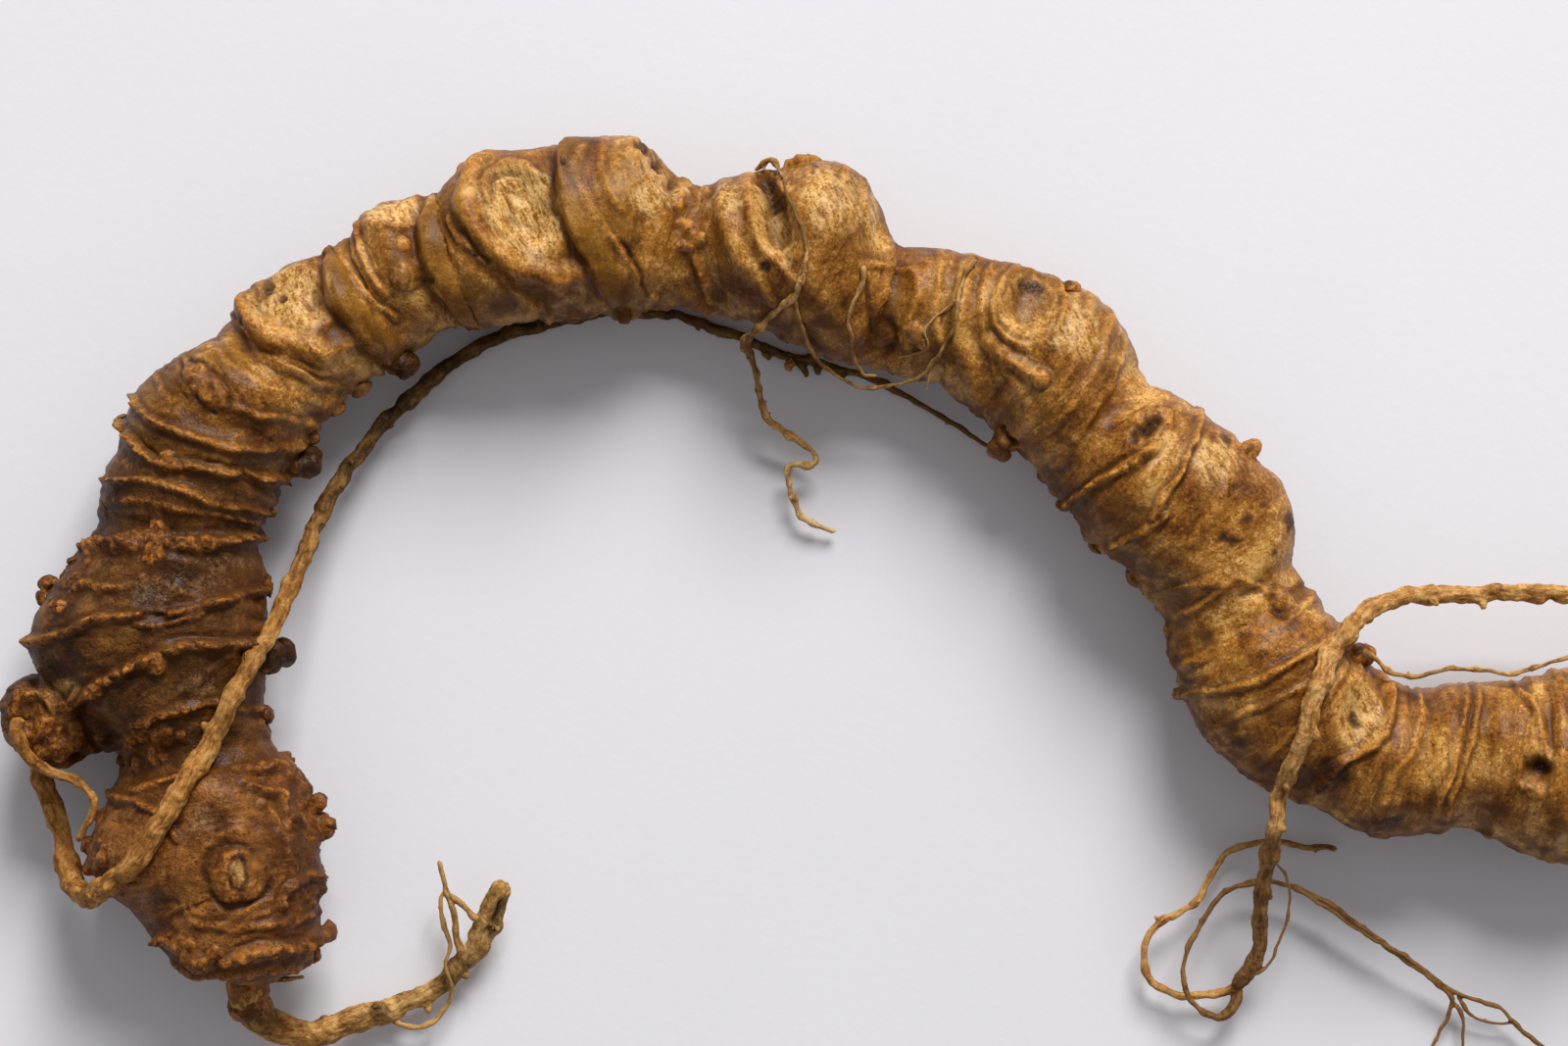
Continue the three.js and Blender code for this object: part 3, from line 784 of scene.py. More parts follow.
# ---- the rhizome's tables
# Sections from the old end to the young end: a point on the outer edge, the point across from it on the
# inner edge, and the height of the underside.
SECTIONS = (
    (-73.5, -37.6, -64, -38, 2.6), (-76.5, -36.2, -62.6, -36.8, 1.2), (-80, -33, -62, -33.5, 0.4),
    (-83.8, -29.5, -62.2, -29.8, -0.7), (-86, -25.8, -62, -26.2, -1), (-85, -22, -62, -22.3, -0.7),
    (-83.2, -18.5, -64.2, -18, 0.5), (-83, -15, -67, -14, 1.2), (-85.2, -11.5, -68.4, -10, 1),
    (-90.4, -7.4, -68, -6.5, 0.4), (-91.8, -3.9, -67.4, -2.5, -0.2), (-90.6, 0, -68, 2, 0.2),
    (-87.6, 3.5, -68.4, 5, 0.6), (-85.2, 7, -68, 7.5, 1), (-84.8, 11, -66.9, 9.6, 0.9),
    (-83.8, 14.5, -65.6, 12.7, 0.8), (-82.6, 18.2, -63.8, 15.8, 0.8), (-80.8, 22.2, -62.4, 18.2, 0.6),
    (-77.3, 24.6, -60.6, 19.9, 0.8), (-73.8, 26.7, -59.3, 21.3, 1.1), (-71.3, 30, -57.6, 22.6, 0.8),
    (-68.4, 32.7, -55.8, 23.6, 0.6), (-64.8, 35.1, -53.9, 25.2, 0.6), (-61.6, 36, -52.2, 26.2, 0.8),
    (-59, 38.6, -50.5, 27.1, 0.6), (-56.4, 41.2, -48.6, 27.8, 0.4), (-52.6, 42, -46.6, 28.2, 0.5),
    (-50.2, 41.8, -44.8, 28.3, 0.6), (-47, 45, -42.5, 28.5, 0.2), (-43, 46.4, -39.5, 28.8, -0.3),
    (-38, 47, -36.5, 29, -0.9), (-33.2, 47.8, -33.2, 29.4, -0.9), (-29.2, 46.8, -30, 30.1, -0.2),
    (-25.6, 43.8, -27, 30.2, 0.9), (-23, 42.9, -24, 29.6, 1.1), (-18.8, 44.2, -20, 28.8, 0.6),
    (-14, 44.7, -16.5, 27.4, 0.3), (-9.4, 45, -13, 25.6, 0), (-6.2, 41.4, -9.5, 24.6, 0.5), (-4, 37, -6.5, 23.9, 1.3),
    (0, 36.5, -3, 23.2, 1.2), (3.4, 35.8, 0.5, 22.2, 1), (8.4, 34.8, 3.5, 20.3, 0.6), (13.4, 32.9, 6.6, 17.6, -0.4),
    (17.8, 30.6, 10, 14.2, -0.9), (20.3, 26.8, 12.5, 11.2, -0.5), (21.8, 22.8, 14.6, 8.7, 0.8),
    (25.4, 21.3, 16.7, 5.9, 0.4), (30.4, 17.6, 19.2, 4, 0.4), (33.9, 14.2, 21.2, 1.7, 0.2),
    (36.6, 9.3, 23.3, -0.9, 0.5), (36.9, 4.4, 24.3, -3.7, 1.1), (39.4, 0.6, 24.8, -7.2, 0.9),
    (42, -2.8, 26.4, -11.6, 0.5), (44.4, -5.7, 29.2, -15.2, 0.3), (46.5, -7.5, 33.2, -18.8, 0.3),
    (49, -8.5, 39.2, -21.2, 0.5), (51.2, -8.5, 44.5, -23.6, 0.3), (54, -7.8, 49.4, -23.8, 0.4),
    (58, -7.9, 54, -23, 0.8), (61, -7.6, 58.7, -25, -0.3), (65, -6.4, 63.6, -26.8, -0.9), (69.6, -6, 69.2, -26, -0.8),
    (73.6, -8, 73.8, -23.4, 0.6), (78.2, -6.4, 77.8, -22.4, 0.5), (83.4, -4.6, 82, -20.6, 0.1),
    (89.2, -5.2, 88, -18.4, 0.5), (94.9, -8, 94.6, -15.2, 2.2),
)

# Knobs that stand out of the skin, run together with it: x, y, z and radius.
KNUCKLES = (
    (-67.3, -5.4, 9.5, 1.5), (-66, -5.2, 8.6, 0.9), (8, 16.9, 8.2, 1.5), (7.2, 15.8, 8.2, 0.9),
    (42.8, -5.5, 10.6, 1.4), (44, -5, 10.4, 0.8), (31.8, 15, 10.2, 1.2), (32.6, 15.9, 10, 0.8), (21, 2.6, 8.4, 0.9),
    (-62.2, -22.2, 8.4, 0.9), (-61.9, -23.4, 8.6, 0.62), (-62.8, -20.6, 8.6, 0.62), (-62.9, -29.2, 8.8, 0.9),
    (-62.6, -33.9, 7.6, 0.9), (-63.2, -36, 7, 0.9), (-85.6, -24.6, 9.4, 0.9), (-85.3, -26.8, 9, 0.9),
    (-84.2, -21.8, 9.4, 0.9), (-90.4, 0.7, 8.2, 0.8), (-90.8, -3.8, 8.8, 0.62), (-86.8, 4.2, 8.6, 0.9),
    (-85.4, 5.8, 8.8, 0.9), (-68.2, 1.8, 8.6, 0.52), (-67.6, 9.1, 8.8, 0.52), (-90.1, 1.9, 8, 0.85),
    (-88.2, 2.9, 8.1, 0.85), (-81.8, -16, 9, 1), (-13.4, 44.8, 9.6, 0.85), (-12.3, 44.8, 9.2, 0.7),
    (-14.5, 44.6, 9.4, 0.65), (13.9, 31.9, 9.9, 0.7), (13.8, 10.3, 7.8, 0.52), (17, 5.9, 7.8, 0.52),
    (-66.7, 12.6, 8.4, 0.62), (-63.4, 17.2, 8.2, 0.52), (-60.9, 20.1, 8, 0.52), (-58.5, 22, 8, 0.52),
    (-48.4, 28.6, 8, 0.52), (-45.3, 28.9, 8, 0.52), (-68, -11.6, 8.6, 0.52), (-28.7, 31.3, 8.4, 0.52),
    (-22.9, 30.2, 8.4, 0.52), (25.9, -9, 8, 0.52), (28.1, -12.4, 7.8, 0.52), (45.7, -23, 7.6, 0.52),
    (60.2, -24.8, 7.8, 0.6), (-82.7, 18.2, 8.6, 0.6), (-84, 11.5, 8.4, 0.52), (-80.3, 21.7, 8.6, 0.52),
    (-61.5, 35.3, 9.4, 0.52),
)

# Short cut-off stubs of old roots: where each starts inside, where it ends, and its radius.
STUBS = (
    ((-67, 13.6, 8.6), (-62.8, 14.6, 7.8), 1.1), ((-57.4, 26.2, 8.2), (-53.2, 23.8, 7), 1),
    ((-33.6, 31.6, 8.6), (-31.4, 29.3, 7), 0.95), ((-30, 31.8, 7.6), (-31.4, 29.8, 6.6), 0.8),
    ((-70.2, -36.4, 8.4), (-69.5, -42.2, 6), 1.75),
)

# The short side branch at the old end: x, y, z and radius of the balls that make it up.
SIDE_BRANCH = (
    (-84, -10.6, 7.6, 4.2), (-87.6, -11.3, 7.6, 4.4), (-90.2, -11.6, 8, 4.4), (-91.2, -10.6, 9, 3.2),
    (-90, -13.4, 8.6, 3.1), (-88.2, -14, 8.6, 2.6), (-88.2, -9.4, 9.8, 2.8), (-92, -13, 7.2, 2.5),
    (-87, -12.4, 10.2, 1.5), (-88.2, -14.6, 10, 1.3), (-90.6, -14.8, 9.6, 1.3), (-86.6, -14.2, 9.2, 1.3),
)

BEADED = tuple(Ridge(pairs(line), height, width, lumps, 0.7) for height, width, lumps, *line in (
    (0.9, 0.58, 0.8, -77.6, -33.4, -75.5, -33.8, -74, -35.4, -71.6, -35.6, -67.7, -34.8, -63.9, -34.3, -61.4, -33.6),
    (0.54, 0.43, 0.7, -76.2, -36, -73, -36.8, -69, -36.6, -64.5, -36.6),
    (0.27, 0.36, 0.5, -74, -31.4, -69, -32.4, -65.5, -32, -62.5, -31.6),
    (0.81, 0.5, 0.8, -69.6, -16.2, -67, -16.2, -65, -17.4, -63.6, -19.4, -62, -20.6, -60.9, -22.6),
    (0.72, 0.43, 0.8, -68.6, -17.8, -66.4, -19.2, -65, -21.2, -63.2, -22.8, -61.6, -25),
    (0.36, 0.36, 0.6, -67.4, -20, -65.8, -22.4, -65, -25.6, -64.6, -28),
    (0.63, 0.36, 0.7, -65.8, -30.4, -65.3, -28.6, -63.6, -27.4, -62, -28),
    (0.45, 0.36, 0.5, -80.4, -18.6, -77, -17.3, -74.5, -16.6),
    (0.45, 0.32, 0.5, -83.4, -19.6, -79.6, -19.8, -77, -21.2, -75.4, -23.4),
    (0.54, 0.36, 0.8, -80.5, -12, -78, -11.2, -75.5, -10.4, -72, -10, -67.2, -11.6),
    (0.99, 0.52, 0.8, -86, -9.2, -83.8, -8.4, -82, -7.3, -79.9, -6, -77, -4.8, -74, -4, -71, -3.9, -68, -4.2),
    (0.9, 0.4, 0.5, -91.2, -3.8, -88.7, -3.6, -85.3, -2.2, -80.4, -1, -77, -0.6, -73.1, -0.2, -70, 0.8, -67.3, 1.5),
    (0.54, 0.29, 0.4, -79.4, -1.6, -77.6, -2, -75.4, -1.5, -73.2, -0.8),
    (0.36, 0.43, 0.8, -90, 2, -86, 2.4, -82, 1.8, -79, 2.8),
    (0.9, 0.58, 0.9, -87.6, 3.4, -86, 5, -83.4, 6, -80, 5.8, -76.6, 6.4, -74, 5.9, -70, 6.7, -67.8, 7),
    (0.54, 0.36, 0.6, -84.8, 12.5, -82, 12.3, -79, 12.2, -74.6, 11.2, -70.7, 9.8, -66.3, 9),
    (0.27, 0.29, 0.5, -84.6, 10.4, -79, 10.2, -73, 9.2, -68.4, 8), (0.12, 0.3, 0.5, -84.2, 15, -80, 13.8, -75, 12.6),
    (0.81, 0.43, 0.7, -83.3, 19, -81.4, 17.4, -78.9, 15.3, -77, 13.9, -72, 13.4, -66, 12.6),
    (0.72, 0.36, 0.5, -81.3, 21.2, -78.4, 18.6, -75.1, 17, -70.7, 15.8, -66, 15.8, -63.2, 16.8),
    (0.12, 0.32, 0.5, -79, 24.2, -77.8, 22, -76, 20.4),
    (0.35, 0.34, 0.6, -71.2, 20.4, -69, 19.5, -66.6, 18.7, -62.8, 18.3, -60.4, 19.8),
))

PLAIN = tuple(Ridge(pairs(line), height, width, lumps, 0.5, crest) for height, width, lumps, crest, *line in (
    (0.15, 0.32, 0.5, 0.5, -73.6, 26, -71, 24.4, -68, 22.6, -64, 20.9, -60.6, 20.2),
    (0.57, 0.32, 0.4, 1, -71.4, 29.4, -69.4, 27.2, -67.2, 25.1, -65, 23.8, -61.4, 22.2, -58.4, 22),
    (0.38, 0.28, 0.4, 1, -68.4, 27.3, -66.4, 25.4, -64.2, 24.3, -61.2, 23.1),
    (1, 1, 0.1, 0.55, -69.9, 31, -68.8, 28.4, -66.3, 26.6, -63.2, 25.8, -60.2, 25.9, -58, 26.6),
    (0.52, 0.32, 0.3, 1, -59.8, 35.6, -58.6, 33, -56.4, 30.5, -54.6, 29),
    (0.52, 0.34, 0.3, 0.9, -58.2, 39.4, -57.8, 36, -56.3, 33, -54.9, 31.4),
    (0.57, 0.34, 0.5, 1, -51, 32.1, -50, 31, -48.6, 29.7, -47.3, 28.4),
    (0.57, 0.34, 0.5, 1, -46.7, 45.2, -47.9, 43, -48.4, 40, -47.5, 37.2, -45.4, 34.8, -42.6, 32.2, -40, 30.2,
     -38.4, 28.8),
    (1.15, 1.05, 0.05, 0.5, -45, 45.6, -46.4, 43.4, -46.7, 40, -45.6, 37, -43.2, 34.8, -40.2, 33.4, -37, 33,
     -34.9, 33.6),
    (0.47, 0.32, 0.2, 0.7, -44.9, 40.6, -45.1, 42.3, -44.2, 43.8, -42.6, 44.4, -41, 44.1, -40, 43.2),
    (0.52, 0.32, 0.25, 0.9, -35.2, 45.6, -35.7, 43, -34.5, 39.9, -31.8, 36.1, -29.6, 33, -28.2, 31.4),
    (0.33, 0.4, 0.2, 0.5, -33.4, 47, -33.3, 43.6, -32.4, 41, -31.4, 39.4),
    (0.47, 0.48, 0.6, 0.8, -25.2, 43, -25, 40, -24.3, 36, -23.2, 32, -22.6, 29.4),
    (0.5, 0.8, 0.2, 0.4, -21.2, 42.9, -20.8, 39.4, -19.6, 36, -18.2, 33),
    (0.47, 0.48, 0.2, 0.5, -18.6, 43.8, -18.4, 40, -17.4, 37, -15.5, 34.4, -13.9, 32.6),
    (0.47, 0.36, 0.3, 1, -18, 33.2, -17, 31.8, -16, 30.2),
    (0.33, 0.36, 0.3, 0.5, -7.9, 44.2, -7.6, 41, -6.9, 38, -5.4, 35.4),
    (0.28, 0.32, 0.4, 0.5, -9.4, 43.4, -9.2, 40.4, -8.4, 37.2, -7.2, 34.6),
    (0.38, 0.36, 0.3, 0.6, -7.2, 33.9, -4.6, 34.2, -2.2, 33.7, -1.5, 31.2, -2.8, 28.2, -4, 25.8),
    (0.28, 0.32, 0.4, 0.6, 0.9, 35.6, 0.6, 32.4, 0.2, 29, 0.8, 25.6),
    (0.75, 0.8, 0.15, 0.5, 4.6, 35.4, 3.5, 33, 2.8, 29.2, 3.3, 25.2, 4.9, 22.2, 5.4, 20.4),
    (0.33, 0.3, 0.3, 0.8, 6.2, 34.4, 5, 31.4, 4.9, 28, 5.8, 25, 6.6, 22.4),
    (0.85, 0.7, 0.3, 0.7, 5.6, 26.4, 7, 25, 8.8, 23.9, 10.8, 22.7),
    (0.5, 0.36, 0.25, 0.6, 8.6, 33.6, 7, 32.4, 6.1, 30.4, 6.3, 28.2, 7.6, 26.6, 9.4, 26),
    (0.36, 0.32, 0.25, 0.5, 9.4, 33.8, 11.6, 33.2, 13, 31.4, 13.3, 29.2, 12.4, 27.2),
    (0.3, 0.26, 0.3, 1, 29.6, 3.5, 31.2, 2.6, 32.8, 1.9, 34.4, 1),
    (0.33, 0.48, 0.4, 0.6, 6.6, 24.4, 8.4, 22, 9.8, 20.2, 9.6, 18),
    (0.33, 0.4, 0.2, 0.5, 17.9, 30.2, 17.4, 26.9, 16.2, 23.5, 14, 20.2, 11.6, 17.6),
    (0.28, 0.36, 0.2, 0.5, 15.6, 31.4, 15.4, 28, 14.2, 24.6, 12.4, 21.6),
    (0.28, 0.36, 0.4, 0.6, 19.6, 28.2, 19.4, 25, 17.6, 21, 14.8, 17, 12.4, 14),
    (0.81, 0.44, 0.6, 1, 13.3, 9.8, 15, 11.2, 17.8, 13, 20.4, 14.4, 22.3, 16.2),
    (0.47, 0.32, 0.5, 1, 27.2, 20.4, 26.9, 18.4, 25.7, 15.1, 23.6, 11.6, 21.8, 8.8),
    (0.57, 0.34, 0.5, 1, 16.4, 5.8, 19.4, 6.6, 21.8, 7.9, 23, 9),
    (0.28, 0.48, 0.3, 0.5, 30.6, 17.4, 29.6, 13, 27.6, 9, 25, 5.6, 21.6, 3),
    (0.38, 0.32, 0.5, 0.9, 24.8, -1.2, 27.2, 0, 28.8, 1.4, 29.8, 2.8),
    (0.24, 0.4, 0.5, 0.6, 38.4, 0.6, 35.6, -1.4, 33, -2.6, 30.8, -2.4),
    (0.38, 0.32, 0.4, 0.9, 28.6, -4.8, 27.4, -5.6, 25.2, -6.4),
    (0.52, 0.34, 0.5, 1, 41.2, -2.8, 38.6, -4.2, 36.2, -5.6, 32, -7.8, 28.6, -8.6, 25.4, -9.2),
    (0.33, 0.32, 0.4, 0.7, 38.8, -7.6, 35.6, -8.8, 32.4, -10.4, 28.6, -12.4),
    (0.28, 0.36, 0.4, 0.6, 41.2, -6, 39, -9.6, 35.6, -13.4, 31.8, -17),
    (0.85, 0.44, 0.2, 0.9, 45.4, -7.2, 46.5, -9.4, 45.9, -12, 43.5, -14.5, 41, -15.7, 38.8, -18.4),
    (0.47, 0.32, 0.4, 0.9, 49.8, -8.2, 49.4, -11.4, 48.2, -14.4, 46.4, -17, 44.8, -20.8),
    (0.43, 0.3, 0.4, 0.9, 54.2, -8, 53.2, -12, 52, -16, 50.4, -20.6),
    (0.43, 0.3, 0.4, 0.9, 55.4, -8, 54.4, -12, 53, -16.2, 51.6, -20.8),
    (0.47, 0.32, 0.4, 0.9, 59.2, -8.2, 60.8, -10.8, 61.5, -13.8, 61.8, -16.2),
    (0.33, 0.36, 0.3, 0.6, 63.4, -6.6, 65, -10.6, 65.2, -15, 63.8, -20, 61.6, -26),
    (0.47, 0.34, 0.4, 0.9, 82, -4.8, 82.6, -10, 81.8, -15.4, 80, -21.4),
    (0.47, 0.34, 0.4, 0.9, 86.8, -4.8, 87.4, -9, 86.6, -14, 84.6, -19.8),
    (0.43, 0.32, 0.4, 0.9, 90.4, -6, 90.8, -10, 90, -14, 88.4, -18),
))

COLLARS = tuple(
    Ridge(pairs(line), height, width, 0.08, 0.45, 0.25, Lap.OLD, collar)
    for height, width, collar, *line in (
        (1.1, 0.7, 2.8, -61.4, 36.4, -61.3, 33.8, -60.6, 31.4, -58.9, 28.4, -57.2, 26.4, -54.8, 24.6),
        (1.3, 0.8, 3.2, -50.4, 42.2, -51.4, 39.4, -51.4, 36.6, -50.9, 34, -49.6, 31.4, -47.2, 28.8),
        (1.5, 0.7, 3.4, -36.9, 47.4, -37.5, 43.6, -37.2, 40.6, -36.4, 38, -34.8, 34.8, -33.2, 32.2),
        (1, 0.6, 2.8, 68, -5.8, 68.6, -10, 69.6, -15, 68.4, -20, 67.4, -26.6),
        (1, 0.6, 3, 78.4, -6.2, 78.6, -11, 78, -16, 76.6, -22.8),
    ))

NECKS = tuple(Neck(pairs(line), depth, width) for depth, width, *line in (
    (1.6, 2.4, -84.5, -17.5, -74.5, -15.4, -64.5, -16), (0.7, 1.8, -84.8, 8.8, -76, 8.6, -67.5, 8),
    (0.5, 1.4, -84, 16.6, -76, 13.2, -65, 11.6), (0.6, 1.5, -80.2, 23.4, -72, 18, -62.4, 17.2),
    (0.9, 1.6, -72.6, 29.4, -68.8, 25.6, -64, 22.2, -57.8, 21.6),
    (0.9, 1.5, -61.8, 36.4, -62.6, 33.2, -61.4, 29.6, -56, 24.4),
    (1, 1.6, -50.9, 41.8, -52.6, 38.6, -52.2, 34.4, -48.2, 28), (1.3, 2.6, -24, 42.8, -24.4, 37, -23, 29.4),
    (1.2, 3.2, -4.2, 37, -4.8, 30, -3.4, 23), (1, 2.4, 21, 24.6, 17.2, 17, 12.4, 10.8),
    (0.9, 2.4, 37.2, 2.4, 31, -1.6, 24.6, -4.6), (0.5, 1.5, 45.4, -6.8, 41.6, -14.2, 34.4, -20.4),
    (0.4, 1.2, 51, -8.4, 49.4, -15, 46.6, -24), (0.5, 1.4, 57.6, -7.8, 57, -15, 54.4, -23.4),
    (0.8, 1.8, 66.8, -6, 67.6, -15, 65.8, -26.8), (0.8, 1.8, 77, -7, 77, -15, 75, -23),
    (0.5, 1.4, 85, -4.6, 85.2, -13, 83.4, -20.4), (0.8, 2.4, -90, 1.6, -80, 1.8, -68.6, 3.4),
    (0.9, 2.4, -86.4, -7, -76, -7.6, -67.6, -8.4),
))

FORMS = (
    *(Swell((x, y), (a, b), height) for x, y, a, b, height in (
        (-69.7, -26.5, 6.4, 6, 0.5), (-10, 40, 4.6, 6, 0.9), (-21, 38.6, 2.8, 5, 0.6), (-31.6, 40.6, 2.8, 5.4, 0.8),
        (34, 9.4, 3.6, 5.6, 0.7), (15, 28, 3.4, 5, 0.6), (-77.4, 19.6, 4, 3, 0.5), (-46.6, 38, 3, 7, 0.5),
        (-54.6, 34, 3.6, 4.2, 0.5), (26.6, 14, 3, 4, 0.5), (57.6, -14, 3.6, 6, 0.4))),
    *(Ripples((x, y), inner, outer, period, height) for x, y, inner, outer, period, height in (
        (-69.8, -26.8, 3.4, 8.6, 0.95, 0.08), (9.6, 29.8, 2.9, 5.4, 0.85, 0.09), (-41.4, 39.6, 4.6, 6.6, 0.9, 0.05),
        (-27, 43.6, 2.6, 5.4, 0.8, 0.08))),
    *(Dish((x, y), (a, b), turn, depth, rim, wide, pale) for x, y, a, b, turn, depth, rim, wide, pale in (
        (-69.9, -26.7, 1, 1.5, -10, 0.35, 0.35, 0.3, 1), (-64.6, 30.6, 4.6, 4, 25, 1.3, 0.15, 0.6, 0.7),
        (-54.4, 40, 3.6, 1.8, 8, 0.8, 0.25, 0.5, 0.9), (-41, 39.5, 3.9, 5.3, 24, 2.3, 0, 0.7, 1.0),
        (-26.9, 43.8, 3.4, 2.3, -38, 1.1, 0.25, 0.6, 0.7), (-15.9, 38.4, 2.2, 5, 14, 1.9, 0.15, 0.7, 0.8),
        (9.7, 29.9, 3.1, 3.3, 0, 1.35, 0.1, 0.7, 0.3), (21.8, 17.4, 1.5, 1.2, 30, 0.5, 0.05, 0.5, 0),
        (42.8, -11.2, 2.9, 3.4, -20, 0.9, 0.1, 0.6, 0.8), (60.5, -16.8, 2, 2.2, 0, 0.9, 0.2, 0.5, 0.1),
        (73.4, -12.2, 3.6, 4.4, 5, 1.5, 0.4, 0.8, 1.0), (-91, -11.2, 2, 1.9, 10, 0.7, 0.5, 0.5, 0))),
)

LINES = tuple(Crevice(pairs(line), depth, width, dark) for depth, width, dark, *line in (
    (0.45, 0.22, 0.6, -31.3, 36.6, -30, 34, -28.6, 31.9), (0.4, 0.25, 0.5, -47, 37.4, -45.8, 35.6, -44.4, 34.2),
    (0.4, 0.3, 0.4, -44.4, 41, -44.4, 42.4, -43.4, 43.4, -41.8, 43.5),
    (0.4, 0.3, 0.5, -59.4, 37.4, -58.7, 34.6, -57, 31.8), (0.3, 0.25, 0.5, -12.4, 27.4, -10.6, 25.4),
    (0.4, 0.3, 0.5, -6.3, 32.4, -6.6, 29.8, -5.9, 27), (0.5, 0.35, 0.6, -4.4, 28.6, -4, 26, -4.6, 24.6),
    (0.9, 0.35, 1, -78.4, -0.7, -77.6, -0.8, -76.8, -0.6), (0.4, 0.3, 0.6, 13.8, 10.8, 16.8, 13.2, 19.2, 14.6),
    (0.3, 0.25, 0.5, 22.6, 8.8, 24.6, 12.2, 26.2, 15.6), (0.3, 0.3, 0.3, 48.6, -10, 47.8, -14.2, 46, -16.8),
    (0.8, 0.6, 0.9, -87, -15.6, -85, -16.2, -83.2, -17.2), (0.5, 0.4, 0.6, -85.6, -8.6, -86, -11, -85.4, -14),
    (0.4, 0.25, 0.8, 7.4, 18.2, 7.9, 17, 8.9, 16.4),
    (0.4, 0.26, 0.7, -75.6, 24.2, -75, 22.2, -73.6, 20.4, -71.6, 19.2),
    (0.4, 0.26, 0.7, -74.6, 24.6, -72.6, 23.8, -70.8, 21.8, -70.2, 20),
    (0.4, 0.28, 0.6, -72.6, -28.2, -73, -26.6, -72.4, -24.8, -70.6, -23.7),
    (0.3, 0.2, 0.9, -70.7, -26.6, -70.4, -25.3, -69.7, -25, -69.1, -25.9, -69, -27.4, -69.6, -28.3, -70.4, -27.9,
     -70.7, -26.6),
    (0.25, 0.22, 0.6, -71.9, -26, -71.2, -24.4, -69.6, -23.8, -68.2, -24.8),
    (0.45, 0.3, 0.7, -72.4, -28.6, -71, -29.8, -69.2, -30, -67.4, -29, -66.7, -27.4),
))

LUMPS = tuple(Wart((x, y), radius, height, crest) for x, y, radius, height, crest in (
    (-77.6, -5.9, 1.3, 0.9, 1), (-78.9, -5.8, 0.8, 0.6, 1), (-77.4, -13, 1.4, 0.8, 1), (-82, -16, 1.2, 0.8, 1),
    (-79.6, -13.2, 1.1, 0.5, 0.9), (-79, -15, 1, 0.6, 1), (-84.5, -26.5, 1.1, 0.7, 0.9), (-66.5, -15.8, 1.1, 0.8, 1),
    (-64.8, -16.8, 0.9, 0.7, 1), (-69.8, -26.8, 2.8, 1, 0.25), (-53.4, 36.4, 0.9, 0.6, 0.8),
    (-52.7, 33.2, 1.6, 1.1, 0.8), (-55.4, 38.2, 0.7, 0.4, 0.6), (-24.9, 38.6, 0.9, 0.6, 0.9), (-24, 36.9, 1, 0.7, 1),
    (-25, 36.2, 0.8, 0.5, 0.9), (-25.6, 40.6, 0.7, 0.4, 0.7), (-27, 42, 0.7, 0.4, 0.6), (-1.9, 27.4, 1.2, 0.8, 0.6),
    (-2.7, 26.2, 0.9, 0.7, 0.8), (-1, 26, 0.8, 0.5, 0.6), (35.6, 0.8, 1.4, 1, 0.9), (33.9, 1.4, 0.7, 0.4, 0.5),
    (10.9, 22.6, 0.9, 0.5, 1), (23.2, 18.9, 1, 0.3, 0.4), (20.6, 18.8, 0.8, 0.3, 0.4), (20.5, 16, 0.7, 0.3, 0.5),
    (49.8, -8.4, 0.7, 0.6, 0.8), (59.4, -8.2, 0.8, 0.6, 0.8), (60.4, -18.6, 0.9, 0.4, 0.9),
    (62.9, -15.2, 0.8, 0.3, 0.5), (58.8, -16, 0.8, 0.3, 0.4), (-37.4, 31.6, 0.8, 0.4, 0.6),
    (80.6, -17.6, 1.1, 0.8, 0.8), (71, -20.6, 1, 0.7, 0.8), (13.9, 32.6, 0.9, 0.4, 0.6), (-73.9, 22.4, 1.5, 0.6, 0.8),
    (-72.1, 20.9, 1.6, 0.6, 0.9), (-29.8, 30.2, 0.8, 0.5, 1), (-61.6, 36.2, 0.7, 0.5, 0.3),
    (-56.4, 25.9, 0.9, 0.5, 0.7), (-87, -10, 1.2, 0.5, 1), (-86.4, -12.6, 1.1, 0.4, 0.8), (-83.9, -8.7, 0.9, 0.5, 1),
    (-80.2, 6.4, 1.3, 0.7, 0.9), (-78, 5, 1.2, 0.7, 1), (-77.6, 7.4, 1.1, 0.6, 0.9), (-76.6, 14.3, 1.2, 0.6, 0.8),
    (29.8, 12.4, 0.6, 0.3, 0.6), (45, -21.6, 0.8, 0.5, 0.5),
))

